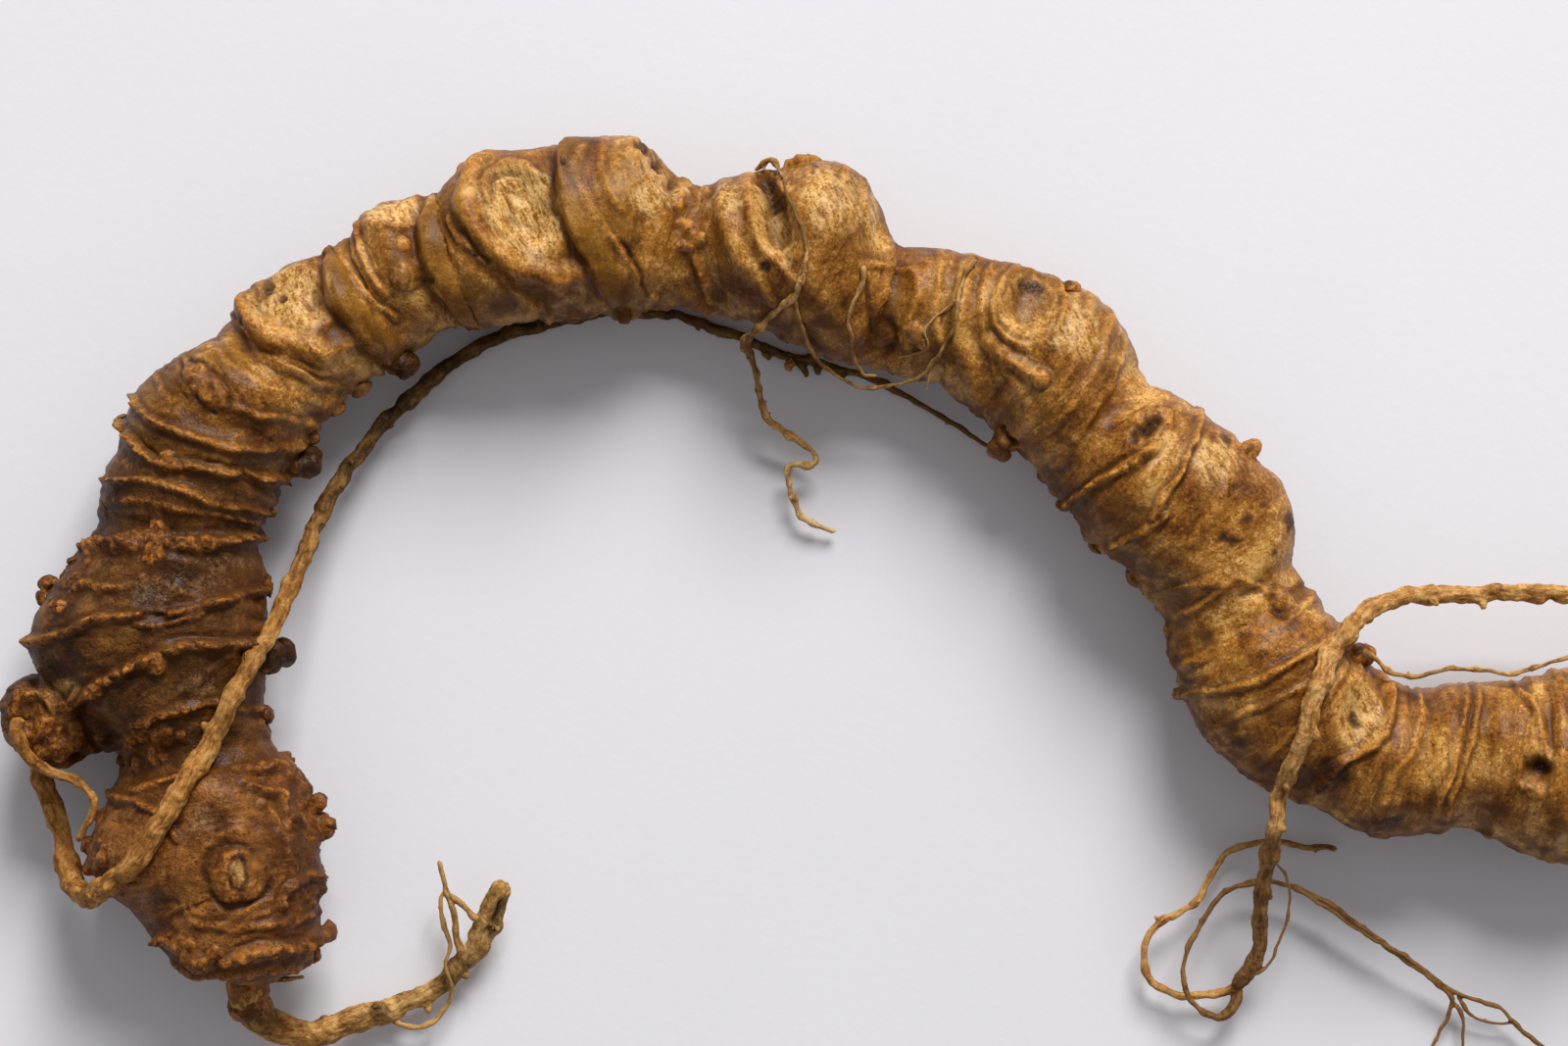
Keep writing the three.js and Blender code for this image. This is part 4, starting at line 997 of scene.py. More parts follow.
CLUSTERS = tuple(Cluster((x, y), (a, b), turn, count, size, height) for x, y, a, b, turn, count, size, height in (
    (-78.6, -13.8, 3.8, 1.5, 20, 12, 0.7, 0.55), (-79.6, 6.2, 2.6, 1.1, 8, 10, 0.7, 0.55),
    (-90.6, -12.2, 3, 3.2, 0, 12, 0.85, 0.45), (-72.9, 21.7, 2.3, 1.4, -42, 14, 0.55, 0.45),
    (-69.6, -27, 2.6, 2.4, 0, 8, 0.6, 0.3), (-84.6, -24.6, 1.5, 2.6, 20, 12, 0.8, 0.6),
    (-63, -21.6, 1.8, 2.6, 30, 12, 0.75, 0.6), (-74.2, -34.6, 3.2, 0.9, -10, 10, 0.8, 0.55),
    (-66.2, -16.6, 1.8, 0.8, -20, 8, 0.6, 0.5), (-85.8, 4.4, 2, 0.9, 40, 8, 0.75, 0.6),
    (-72.6, 6.2, 2.2, 0.5, 0, 6, 0.55, 0.45), (-84, -8.4, 2.2, 0.6, 25, 8, 0.55, 0.5),
    (-63.4, -29, 1.3, 1.5, 0, 8, 0.65, 0.5), (-2.2, 26.6, 1.1, 1.4, 0, 6, 0.55, 0.4),
    (-24.4, 37.4, 0.9, 2, 0, 7, 0.55, 0.35), (43, -5.4, 1.5, 1.4, 0, 9, 0.55, 0.4),
    (8, 16.8, 1.5, 1.6, 0, 7, 0.55, 0.35), (59.9, -18.2, 1, 0.6, 0, 6, 0.5, 0.4),
    (-52.8, 33.2, 1.5, 1.5, 0, 11, 0.45, 0.35), (21.9, 17.6, 1.9, 1.5, 30, 12, 0.55, 0.4),
    (-88.2, 1.4, 1.3, 2.6, -20, 10, 0.8, 0.6), (-84.8, 8.4, 0.9, 1.6, -30, 6, 0.6, 0.5),
    (-91, -3.6, 0.9, 1, 0, 4, 0.6, 0.4), (27.6, -12.2, 1.2, 2.4, 30, 7, 0.7, 0.5),
    (31.6, -17.2, 1.8, 1.2, -40, 7, 0.7, 0.5), (24.6, -5.6, 0.8, 1.6, 20, 5, 0.6, 0.4),
    (-31.6, 29.9, 1.6, 0.9, -30, 8, 0.6, 0.5), (-56, 25.4, 1.6, 0.8, -25, 6, 0.5, 0.35),
    (-54.2, 24.4, 1.5, 0.9, -30, 9, 0.5, 0.4), (-64, 14.3, 1.7, 0.8, -12, 9, 0.5, 0.4),
    (-66.6, -5.3, 1.4, 1.2, 0, 7, 0.6, 0.35), (-88.6, -14.4, 2, 1, 0, 6, 0.9, 0.5),
))

PITS = tuple(Pit((x, y), radius, depth, dark) for x, y, radius, depth, dark in (
    (-67.4, 32, 0.5, 0.5, 0.7), (-66.2, 31.2, 0.5, 0.4, 0.7), (-69.6, 28.4, 0.5, 0.6, 0.8),
    (-70.6, 28.8, 0.4, 0.4, 0.6), (-29.3, 45.9, 0.8, 0.6, 0.7), (-27.4, 44.9, 0.6, 0.8, 0.9),
    (-25.8, 43.4, 0.4, 0.4, 0.6), (-16.6, 42.3, 1.2, 1.3, 0.9), (-15.8, 41, 0.6, 0.5, 0.5),
    (-16.9, 33.9, 0.8, 0.3, 0.8), (9.7, 32.2, 0.8, 0.3, 0.6), (11, 31.8, 0.6, 0.3, 0.8), (13.6, 32.3, 0.5, 0.6, 0.8),
    (42.6, -10.8, 0.5, 0.4, 0.6), (43.2, -12, 0.4, 0.3, 0.5), (35, -1, 0.7, 0.5, 0.6), (60.6, -16.3, 1.2, 0.7, 0.75),
    (61.4, -15.6, 0.5, 0.5, 0.6), (73, -12.8, 0.6, 0.6, 0.7), (21.4, 17.2, 0.6, 0.3, 0.8),
    (22.6, 18.2, 0.5, 0.3, 0.8), (20.2, 16.4, 0.6, 0.3, 0.7), (-89.8, -10.4, 0.5, 0.5, 0.6),
    (-91.8, -10.4, 0.6, 0.4, 0.5), (-50.6, 32.5, 0.35, 0.4, 0.8), (-45.7, 35, 0.4, 0.4, 0.8),
    (-53.4, 33.9, 0.3, 0.1, 0.6), (-51.9, 32.8, 0.3, 0.1, 0.6), (-52.4, 34.1, 0.25, 0.1, 0.6),
    (-73.8, 22.9, 0.3, 0.1, 0.6), (-72, 21.6, 0.3, 0.1, 0.7), (-71.6, 20.2, 0.3, 0.1, 0.6),
    (-74.2, 21.8, 0.3, 0.1, 0.6), (-36.9, 43.4, 0.4, 0.4, 0.8), (-76.6, 2.6, 0.6, 0.3, 0.5),
    (-83.6, 0.6, 0.7, 0.4, 0.5),
))

# Patches that only colour the skin: stains, bloom, worn crests, pale scar tissue and olive collars.
COLOUR_PATCHES = tuple(Patch((x, y), (a, b), turn, kind, strength) for kind, strength, places in (
    (Mark.DARK, 0.75, (
        (39.4, -16, 1.1, 0.8, 0), (41, -17.4, 1.3, 0.7, -20), (46.4, -22, 1.2, 0.7, 0), (29.4, 6.6, 1.6, 0.6, -10),
        (30.9, 8.4, 1, 0.5, 40), (34, 5.4, 0.6, 0.4, 0), (35.4, 8, 0.8, 1.2, 20), (29.6, 16.4, 0.7, 0.5, 0),
        (42.6, -11.2, 0.9, 0.7, 30), (20.8, 17.2, 0.9, 0.6, 0), (10.3, 32.1, 1.5, 0.6, -12), (21.8, 17.4, 1.4, 1, 20),
        (60.8, -16.2, 1.2, 1, 0), (-16, 41.2, 1.3, 1.4, 0), (26.4, -7.6, 0.8, 0.4, 0), (31, -13.6, 1, 0.5, -30))),
    (Mark.DARK, 0.4, (
        (-38.9, 30.8, 1.4, 0.8, -20), (-5.9, 27.6, 1.3, 2.6, 0), (-13, 30.4, 2.4, 1.4, -20),
        (-20.6, 32.6, 2.4, 1.6, -30), (24, 4.6, 2, 1.6, 0), (35, -10.6, 3, 1.4, -30), (19, 10, 2.6, 1.8, -35),
        (24.6, 1, 1.8, 2.2, 0), (36.4, 1.4, 2, 1, 0), (0.6, 25.4, 1.6, 1.4, 0), (-47, 31, 1.4, 1.6, -30),
        (-60, 27.4, 1.2, 1.8, -30), (47, -20.6, 3.6, 1.2, 0))),
    (Mark.DARK, 0.55, (
        (27.4, -3.2, 1.5, 0.9, -20), (30, -11.4, 1.5, 0.8, -30), (33.2, -16, 1.3, 0.8, -30),
        (36.8, -18.2, 1.5, 0.8, -20), (24.2, 2.4, 1, 0.7, 0), (51.8, -21.4, 1.7, 0.8, 0), (56.8, -20.6, 1.3, 0.8, 20),
        (62.6, -22, 1.5, 0.9, 0), (13.2, 16.4, 1.3, 0.7, -40), (17.6, 9.4, 1.1, 0.6, -30), (38, 3.6, 0.8, 1, 0),
        (-10.8, 28.6, 1.6, 0.8, -20), (-21.6, 30.8, 1.3, 0.7, -10), (-43.6, 30.4, 1.6, 0.7, -25))),
    (Mark.DARK, 0.9, (
        (40.4, -16.4, 1.8, 1.2, -20), (39.2, -18.2, 1, 0.8, 0), (46, -21.8, 1.8, 0.9, 0), (-53.6, 24, 1.9, 1.3, -30),
        (-63.4, 14.3, 2, 1.2, -12), (-66.2, -5.4, 1.6, 1.5, 0))),
    (Mark.BLOOM, 0.8, (
        (-77.6, 1.8, 3.6, 1.5, 12), (-72, 2.4, 2.6, 1.4, 0), (-72.6, -7.6, 2.4, 1.6, 30), (-74, -13.4, 1.6, 0.9, 20),
        (-72.8, -21.2, 2.2, 1.4, 40), (-84.2, -27.2, 1.4, 0.8, 0), (-71, 4.4, 2.4, 0.8, 0),
        (-69.6, -26.3, 0.8, 1.3, 10), (-90.6, -9.6, 1.2, 0.8, -30))),
    (Mark.CREST, 0.35, (
        (-1.2, 32, 2.6, 2.2, 0), (33.6, -3.4, 3.2, 2.2, -30), (48.6, -14.4, 2.6, 4.4, 0), (27.2, 3.4, 2.2, 2, 0),
        (-29.6, 34, 2.2, 1.6, -30), (-42, 31.6, 3.4, 1.2, -30), (16, 21.6, 2.6, 1.8, -30),
        (-66.6, 27.6, 3, 1.4, -30))),
    (Mark.DARK, 0.3, ((9.8, 30.8, 3, 2.4, 0),)),
    (Mark.DARK, 0.2, ((9.6, 30.2, 2.8, 2.8, 0), (-22, 31.4, 3, 2, 0), (10, 18.4, 3, 3.6, 0))),
    (Mark.CREST, 0.85, (
        (-90.4, -11.2, 2.6, 2.4, 0), (-2.2, 26.8, 1.3, 1.5, 0), (8, 17.2, 1.3, 1.3, 0), (10.6, 22.8, 1, 0.7, -30))),
    (Mark.CREST, 0.6, (
        (-90.6, -11.4, 3.4, 3.2, 0), (-79, -13.8, 3.6, 1.6, 20), (-84.4, -24.8, 1.6, 2.6, 20),
        (-80, 6.2, 2.6, 1.2, 8), (-66.8, -17.4, 2.4, 1.2, -20), (-73, 21.7, 2, 1.4, -42), (-63.4, -22.4, 1.6, 2.4, 0),
        (-24.4, 37.6, 1.2, 2.2, 0))),
    (Mark.SCAR, 1, ((-69.8, -26.7, 0.7, 1.3, 8),)),
    (Mark.SCAR, 0.5, ((-89.4, -10.4, 1.8, 1.4, -30), (-78.6, -13.6, 1.6, 0.7, 20), (-77.4, -5.8, 1, 0.6, 20))),
    # Pale scar tissue. The large pale patches on the bulge at (-10.4, 39.8) and (-6.4, 38.6) are partly painted
    # highlight.
    (Mark.SCAR, 0.75, (
        (-2.6, 27, 1, 1.1, 0), (8.2, 17.2, 1, 0.8, 0), (-10.4, 39.8, 3.4, 3.8, 0), (-6.4, 38.6, 1.6, 3.2, 10),
        (-21.2, 40.4, 2.6, 2.4, 0), (-29, 40.6, 2, 2.2, 0), (14.4, 27.2, 2.6, 3.4, 0), (28, 14, 2.4, 2.6, 0),
        (-87, -8.8, 1.3, 1, -30), (-26.6, 41.2, 1.6, 1.2, -30), (59.6, -18.1, 1, 0.7, -40),
        (-52.7, 33.2, 1.4, 1.3, 0), (-53.4, 36.4, 0.8, 0.7, 0), (-1.6, 27.2, 1.2, 1.2, 0))),
    (Mark.COLLAR, 0.8, (
        (-47.8, 40.6, 2, 4.6, 0), (-31.6, 40.8, 2.2, 5, -8), (-78, 21.6, 2.6, 2, 0), (-70, 24.6, 2.6, 1.8, -30),
        (6, 27, 1.2, 3.6, 0), (-45, 31.4, 3, 1.2, -35))),
) for x, y, a, b, turn in places)


# ---- finishes
class Nodes:
    """Builds a material's node tree in short steps."""

    MIX_SHARE, MIX_FIRST, MIX_SECOND, MIX_RESULT = 0, 6, 7, 2  # a mix node's sockets for colours

    def __init__(self, name: str) -> None:
        """Start a material with an empty tree.

        Args:
            name: the material's name.
        """
        self.material = bpy.data.materials.new(name)
        self.material.use_nodes = True
        self.tree = self.material.node_tree
        self.tree.nodes.clear()

    def node(self, kind: str, inputs: Optional[dict[object, object]] = None, **settings: object) -> bpy.types.Node:
        """Add a node.

        Args:
            kind: Blender's name for the node type.
            inputs: a value or an output for each input named.
            settings: what to set on the node itself.

        Returns:
            The new node.
        """
        made = self.tree.nodes.new(kind)
        for key, value in settings.items():
            setattr(made, key, value)
        for key, value in (inputs or {}).items():
            if isinstance(value, bpy.types.NodeSocket):
                self.tree.links.new(value, made.inputs[key])
            else:
                made.inputs[key].default_value = value
        return made

    def noise(self, vector: object, scale: float, detail: float, rough: float,
              distortion: float) -> bpy.types.NodeSocket:
        """Give a noise texture's value.

        Args:
            vector: the coordinates.
            scale: how fine it is.
            detail: how many layers it has.
            rough: how strong the finer layers are.
            distortion: how much it is warped.

        Returns:
            The value.
        """
        made = self.node("ShaderNodeTexNoise", {"Vector": vector, "Scale": scale, "Detail": detail,
                                                "Roughness": rough, "Distortion": distortion})
        return made.outputs[0]

    def cells(self, vector: object, scale: float) -> bpy.types.NodeSocket:
        """Give the distance to the nearest of scattered points."""
        return self.node("ShaderNodeTexVoronoi", {"Vector": vector, "Scale": scale}).outputs["Distance"]

    def scaled(self, vector: object, scale: Point3) -> bpy.types.NodeSocket:
        """Stretch coordinates."""
        return self.node("ShaderNodeMapping", {"Vector": vector, "Scale": scale}).outputs[0]

    def ease(self, value: object, low: float, high: float, to_low: float = 0.0,
             to_high: float = 1.0) -> bpy.types.NodeSocket:
        """Map a value's range smoothly onto another.

        Args:
            value: the value.
            low: where its range starts.
            high: where its range ends.
            to_low: what the start becomes.
            to_high: what the end becomes.

        Returns:
            The new value.
        """
        made = self.node("ShaderNodeMapRange", {"Value": value, "From Min": low, "From Max": high,
                                                "To Min": to_low, "To Max": to_high},
                         interpolation_type="SMOOTHSTEP")
        return made.outputs[0]

    def channels(self, colour: object) -> tuple[bpy.types.NodeSocket, ...]:
        """Split a colour into three values."""
        return tuple(self.node("ShaderNodeSeparateColor", {0: colour}).outputs[:3])

    def times(self, first: object, second: object) -> bpy.types.NodeSocket:
        """Multiply two values."""
        return self.math("MULTIPLY", first, second)

    def blend(self, *parts: tuple[object, float]) -> bpy.types.NodeSocket:
        """Add up values, each with its share.

        Args:
            parts: each value and its share.

        Returns:
            The sum.
        """
        total = None
        for value, share in parts:
            part = self.times(value, share)
            total = part if total is None else self.math("ADD", total, part)
        return total

    def math(self, operation: str, first: object, second: object) -> bpy.types.NodeSocket:
        """Combine two values."""
        return self.node("ShaderNodeMath", {0: first, 1: second}, operation=operation).outputs[0]

    def mix(self, share: object, first: object, second: object) -> bpy.types.NodeSocket:
        """Mix two colours.

        Args:
            share: how much there is of the second.
            first: one colour.
            second: the other.

        Returns:
            The colour between them.
        """
        values = {self.MIX_SHARE: share, self.MIX_FIRST: first, self.MIX_SECOND: second}
        opaque = {key: (*value, 1.0) if isinstance(value, tuple) else value for key, value in values.items()}
        return self.node("ShaderNodeMix", opaque, data_type="RGBA").outputs[self.MIX_RESULT]

    def ramp(self, value: object, places: Sequence[float], colours: Sequence[Colour]) -> bpy.types.NodeSocket:
        """Turn a value into a colour.

        Args:
            value: the value.
            places: where each colour stands, in rising order.
            colours: the colours.

        Returns:
            The colour.
        """
        made = self.node("ShaderNodeValToRGB", {0: value})
        points = made.color_ramp.elements
        while len(points) < len(places):
            points.new(0.5)
        for point, place, colour in zip(points, places, colours):
            point.position = place
            point.color = (*colour, 1.0)
        return made.outputs[0]

    def attribute(self, name: str) -> bpy.types.Node:
        """Read what the mesh stores under a name."""
        return self.node("ShaderNodeAttribute", attribute_name=name, attribute_type="GEOMETRY")

    def bump(self, height: object, depth: float) -> bpy.types.NodeSocket:
        """Turn a value into fine relief, of a depth in metres."""
        return self.node("ShaderNodeBump", {"Height": height, "Distance": depth, "Strength": 1.0}).outputs[0]

    def surface(self, colour: object, rough: object, height: object, depth: float, shine: float = 0.5,
                coat: float = 0.0, coat_rough: float = 0.2, coat_height: object = None) -> bpy.types.Material:
        """Finish the material with its shader.

        Args:
            colour: the base colour.
            rough: the roughness.
            height: the fine relief, as a value.
            depth: how deep a step of 1 in the relief is, in metres.
            shine: strength of the plain reflection.
            coat: strength of the waxy coat.
            coat_rough: roughness of that coat.
            coat_height: the coat's own fine relief, where it has one.

        Returns:
            The material.
        """
        skin = film = self.bump(height, depth)
        if coat_height is not None:
            film = self.bump(coat_height, depth)
        shader = self.node("ShaderNodeBsdfPrincipled", {
            "Base Color": colour, "Roughness": rough, "Specular IOR Level": shine, "Normal": skin,
            "Coat Weight": coat, "Coat Roughness": coat_rough, "Coat Normal": film})
        out = self.node("ShaderNodeOutputMaterial")
        self.tree.links.new(shader.outputs[0], out.inputs[0])
        return self.material


@dataclass(frozen=True)
class Bark:
    """The rhizome's skin: waxy golden brown, dark at the old end, pale in its scars and black in its pits, with
    painted shade in its furrows, hollows, underside and the inside of the arch, and painted glints.
    """

    name: str = "rhizome_bark"
    young: tuple[Colour, ...] = ((0.078, 0.022, 0.003), (0.200, 0.070, 0.009), (0.360, 0.152, 0.024),
                                 (0.660, 0.360, 0.098))
    olive: tuple[Colour, ...] = ((0.115, 0.042, 0.003), (0.280, 0.118, 0.011))
    floor: tuple[Colour, ...] = ((0.240, 0.095, 0.016), (0.580, 0.305, 0.076), (0.880, 0.585, 0.240))
    arm: tuple[Colour, ...] = ((0.022, 0.007, 0.001), (0.066, 0.023, 0.004), (0.175, 0.066, 0.010))
    tail: tuple[Colour, ...] = ((0.048, 0.013, 0.003), (0.135, 0.044, 0.008), (0.330, 0.125, 0.026))
    bloom: tuple[Colour, ...] = ((0.110, 0.056, 0.020), (0.330, 0.205, 0.100))
    orange: Colour = (0.600, 0.245, 0.042)
    rust: tuple[Colour, ...] = ((0.200, 0.056, 0.007), (0.640, 0.235, 0.040))
    # Colour of the painted glints.
    glint: Colour = (0.780, 0.500, 0.220)
    fleck: Colour = (0.060, 0.021, 0.006)
    # Colours of the dark marks: stains and dirt, and painted shade in furrows, hollows, underneath and inside the
    # arch.
    russet: Colour = (0.082, 0.025, 0.005)
    black: Colour = (0.020, 0.009, 0.004)
    patch_noise: Look = (150.0, 5.0, 0.62, 0.6)
    mottle_noise: Look = (1500.0, 4.0, 0.66, 0.4)
    grain_noise: Look = (3800.0, 3.0, 0.62, 0.0)
    across_noise: Look = (1100.0, 5.0, 0.64, 0.5)
    across_stretch: Point3 = (1.0, 0.14, 0.14)  # draws the noise out round the rhizome
    streak_noise: Look = (1300.0, 4.0, 0.6, 0.5)
    streak_turn: float = -65.0  # degrees, the way the torn fibres run on a scar's floor
    streak_stretch: Point3 = (3.3, 0.7, 1.0)
    fleck_scale: float = 1500.0
    arm_from: Point2 = (0.019, 0.028)  # distance along the spine, in metres, where the tail turns into the arm
    relief: float = 0.00020  # metres
    shine: float = 0.07
    coat: float = 0.20
    coat_rough: float = 0.17

    def material(self) -> bpy.types.Material:
        """Build the material.

        Returns:
            The material.
        """
        n = Nodes(self.name)
        place = n.node("ShaderNodeTexCoord").outputs["Object"]
        laid = n.attribute("laid").outputs["Vector"]
        marks, worn_and_shaded = n.attribute("marks"), n.attribute("wear_and_shade")
        crest, dark, scar = n.channels(marks.outputs["Color"])
        age, convex, hollow = n.channels(worn_and_shaded.outputs["Color"])
        collar, bloom = marks.outputs["Alpha"], worn_and_shaded.outputs["Alpha"]
        along = n.node("ShaderNodeSeparateXYZ", {0: laid}).outputs[0]

        patches, mottle, grain = (n.noise(place, *look)
                                  for look in (self.patch_noise, self.mottle_noise, self.grain_noise))
        across = n.noise(n.scaled(laid, self.across_stretch), *self.across_noise)
        fibres = n.node("ShaderNodeMapping", {"Vector": place, "Rotation": (0, 0, math.radians(self.streak_turn)),
                                              "Scale": self.streak_stretch}, vector_type="TEXTURE")
        streaks = n.noise(fibres.outputs[0], *self.streak_noise)
        tone = n.blend((patches, 0.46), (mottle, 0.18), (across, 0.22), (grain, 0.18))
        speckle = n.blend((grain, 0.5), (mottle, 0.5))

        # The skin itself: golden on the young part, olive on the collars, brown on the arm and the tail.
        skin = n.ramp(tone, (0.420, 0.481, 0.541, 0.609), self.young)
        skin = n.mix(n.times(collar, 0.9), skin, n.ramp(tone, (0.41, 0.62), self.olive))
        arm = n.ramp(tone, (0.428, 0.508, 0.605), self.arm)
        tail = n.ramp(tone, (0.42, 0.50, 0.60), self.tail)
        skin = n.mix(n.times(age, 0.94), skin, n.mix(n.ease(along, *self.arm_from), tail, arm))

        # Torn fibres on the scars' floors, and a grey bloom.
        floor = n.blend((streaks, 0.5), (mottle, 0.25), (grain, 0.25))
        skin = n.mix(n.times(scar, 0.9), skin, n.ramp(floor, (0.425, 0.49, 0.58), self.floor))
        fuzz = n.times(bloom, n.ease(speckle, 0.42, 0.60))
        skin = n.mix(n.times(fuzz, 0.7), skin, n.ramp(tone, (0.42, 0.60), self.bloom))

        # Worn crests, and painted glints: small pale gold highlights on the young skin.
        tip = n.mix(age, self.orange, n.ramp(mottle, (0.38, 0.62), self.rust))
        plain = n.math("SUBTRACT", 1.0, n.times(collar, 0.8))
        rim = n.math("MAXIMUM", crest, n.times(n.times(convex, 0.5), plain))
        skin = n.mix(n.times(rim, n.ease(speckle, 0.36, 0.58)), skin, tip)
        painted_glints = n.times(n.ease(speckle, 0.54, 0.66), n.ease(patches, 0.48, 0.62, 0.05, 0.6))
        young = n.times(n.math("SUBTRACT", 1.0, age), plain)
        skin = n.mix(n.times(painted_glints, young), skin, self.glint)

        # Flecks, and the dark marks, which are partly stains and dirt and partly painted shade in the furrows, pits,
        # hollows, underneath and inside the arch: russet round them and black within.
        flecks = n.times(n.ease(n.cells(place, self.fleck_scale), 0.22, 0.08), n.ease(patches, 0.46, 0.58, 0.1, 0.8))
        skin = n.mix(flecks, skin, self.fleck)
        stain_and_shade_halo = n.math("MAXIMUM", n.ease(dark, 0.0, 0.5), n.times(hollow, 0.75))
        skin = n.mix(n.times(stain_and_shade_halo, 0.75), skin, self.russet)
        stain_and_shade = n.times(n.math("MAXIMUM", n.ease(dark, 0.35, 0.85), n.times(hollow, 0.32)),
                        n.ease(speckle, 0.38, 0.54))
        skin = n.mix(n.times(stain_and_shade, 0.95), skin, self.black)

        rough = n.ease(speckle, 0.35, 0.65, 0.30, 0.46)
        rough = n.math("MAXIMUM", rough, n.times(n.math("MAXIMUM", stain_and_shade_halo, age), 0.6))
        fine = n.blend((across, 0.35), (mottle, 0.65), (grain, 0.26), (n.times(streaks, scar), 0.8),
                       (n.times(speckle, age), 0.9))
        film = n.blend((mottle, 0.25), (grain, 0.34))
        return n.surface(skin, rough, fine, self.relief, self.shine, self.coat, self.coat_rough, film)


@dataclass(frozen=True)
class RootSkin:
    """A thin root's skin: dull tan or brown with lengthwise wrinkles, dark stains, and painted shade in the hollows
    between the wrinkles.
    """

    name: str
    slot: str
    tones: tuple[Colour, ...]
    far: tuple[Colour, ...]  # what the tones turn to further along the root
    turns: Point2  # where they turn, along the root in metres
    black: Colour = (0.024, 0.013, 0.007)
    grain_noise: Look = (2600.0, 4.0, 0.6, 0.3)
    grain_stretch: Point3 = (0.2, 1.0, 1.0)  # draws the noise out along the root
    patch_noise: Look = (520.0, 5.0, 0.70, 0.4)
    fine_noise: Look = (4200.0, 3.0, 0.6, 0.0)
    tone_places: Point3 = (0.41, 0.50, 0.59)
    relief: float = 0.00020  # metres
    shine: float = 0.12

    def material(self) -> bpy.types.Material:
        """Build the material.

        Returns:
            The material.
        """
        n = Nodes(self.name)
        place = n.node("ShaderNodeTexCoord").outputs["Object"]
        laid = n.attribute("laid").outputs["Vector"]
        dark, convex, hollow = n.channels(n.attribute("wear_and_shade").outputs["Color"])
        along = n.node("ShaderNodeSeparateXYZ", {0: laid}).outputs[0]
        grain = n.noise(n.scaled(laid, self.grain_stretch), *self.grain_noise)
        patches, fine = n.noise(place, *self.patch_noise), n.noise(place, *self.fine_noise)
        tone = n.blend((grain, 0.35), (patches, 0.5), (fine, 0.15))
        near, far = (n.ramp(tone, self.tone_places, colours) for colours in (self.tones, self.far))
        skin = n.mix(n.ease(along, *self.turns), near, far)
        light = n.mix(n.ease(along, *self.turns), self.tones[-1], self.far[-1])
        skin = n.mix(n.times(convex, 0.5), skin, light)
        # Stains, and painted shade in the hollows, darken it towards black.
        stain_and_shade = n.math("MAXIMUM", dark, n.times(hollow, 0.6))
        skin = n.mix(stain_and_shade, skin, self.black)
        rough = n.ease(patches, 0.3, 0.7, 0.55, 0.8)
        height = n.blend((grain, 0.6), (patches, 0.6), (fine, 0.3))
        return n.surface(skin, rough, height, self.relief, self.shine)


@dataclass(frozen=True)
class Paper:
    """The pale sheet that the root lies on."""

    name: str = "paper"
    white: Colour = (0.80, 0.79, 0.82)
    uneven: float = 0.975  # how much darker its darker places are
    tooth_noise: Look = (900.0, 4.0, 0.6, 0.0)
    tooth: float = 0.00002  # metres
    cloud_noise: Look = (14.0, 2.0, 0.55, 0.0)
    rough: float = 0.85
    shine: float = 0.2

    def material(self) -> bpy.types.Material:
        """Build the material.

        Returns:
            The material.
        """
        n = Nodes(self.name)
        place = n.node("ShaderNodeTexCoord").outputs["Object"]
        clouds = n.ease(n.noise(place, *self.cloud_noise), 0.3, 0.7)
        tone = n.mix(clouds, self.white, tuple(part * self.uneven for part in self.white))
        return n.surface(tone, self.rough, n.noise(place, *self.tooth_noise), self.tooth, self.shine)


BARK = Bark()
# Far along, the long root turns much darker: painted shadow where it comes down the arm and runs along the inside of
# the arch.
BROWN_ROOT = RootSkin(
    "brown_root_skin", "brown_root", ((0.150, 0.053, 0.009), (0.350, 0.148, 0.031), (0.560, 0.295, 0.090)),
    ((0.036, 0.017, 0.005), (0.090, 0.043, 0.011), (0.210, 0.110, 0.034)), (0.058, 0.082))
TAIL_ROOT = RootSkin(
    "pale_root_skin", "brown_root", ((0.140, 0.050, 0.010), (0.350, 0.160, 0.038), (0.580, 0.320, 0.100)),
    ((0.150, 0.064, 0.015), (0.370, 0.190, 0.053), (0.600, 0.360, 0.130)), (0.008, 0.022))
# Far along, the side root turns darker: painted shadow where it comes down the rhizome's lower side onto the paper.
TAN_ROOT = RootSkin(
    "tan_root_skin", "tan_root", ((0.215, 0.086, 0.020), (0.460, 0.220, 0.060), (0.700, 0.410, 0.150)),
    ((0.090, 0.038, 0.011), (0.190, 0.088, 0.026), (0.330, 0.170, 0.058)), (0.062, 0.085))
FINE_ROOT = RootSkin(
    "fine_root_skin", "tan_root", ((0.170, 0.070, 0.018), (0.380, 0.190, 0.055), (0.620, 0.370, 0.140)),
    ((0.240, 0.120, 0.040), (0.520, 0.320, 0.130), (0.760, 0.530, 0.270)), (0.040, 0.058))


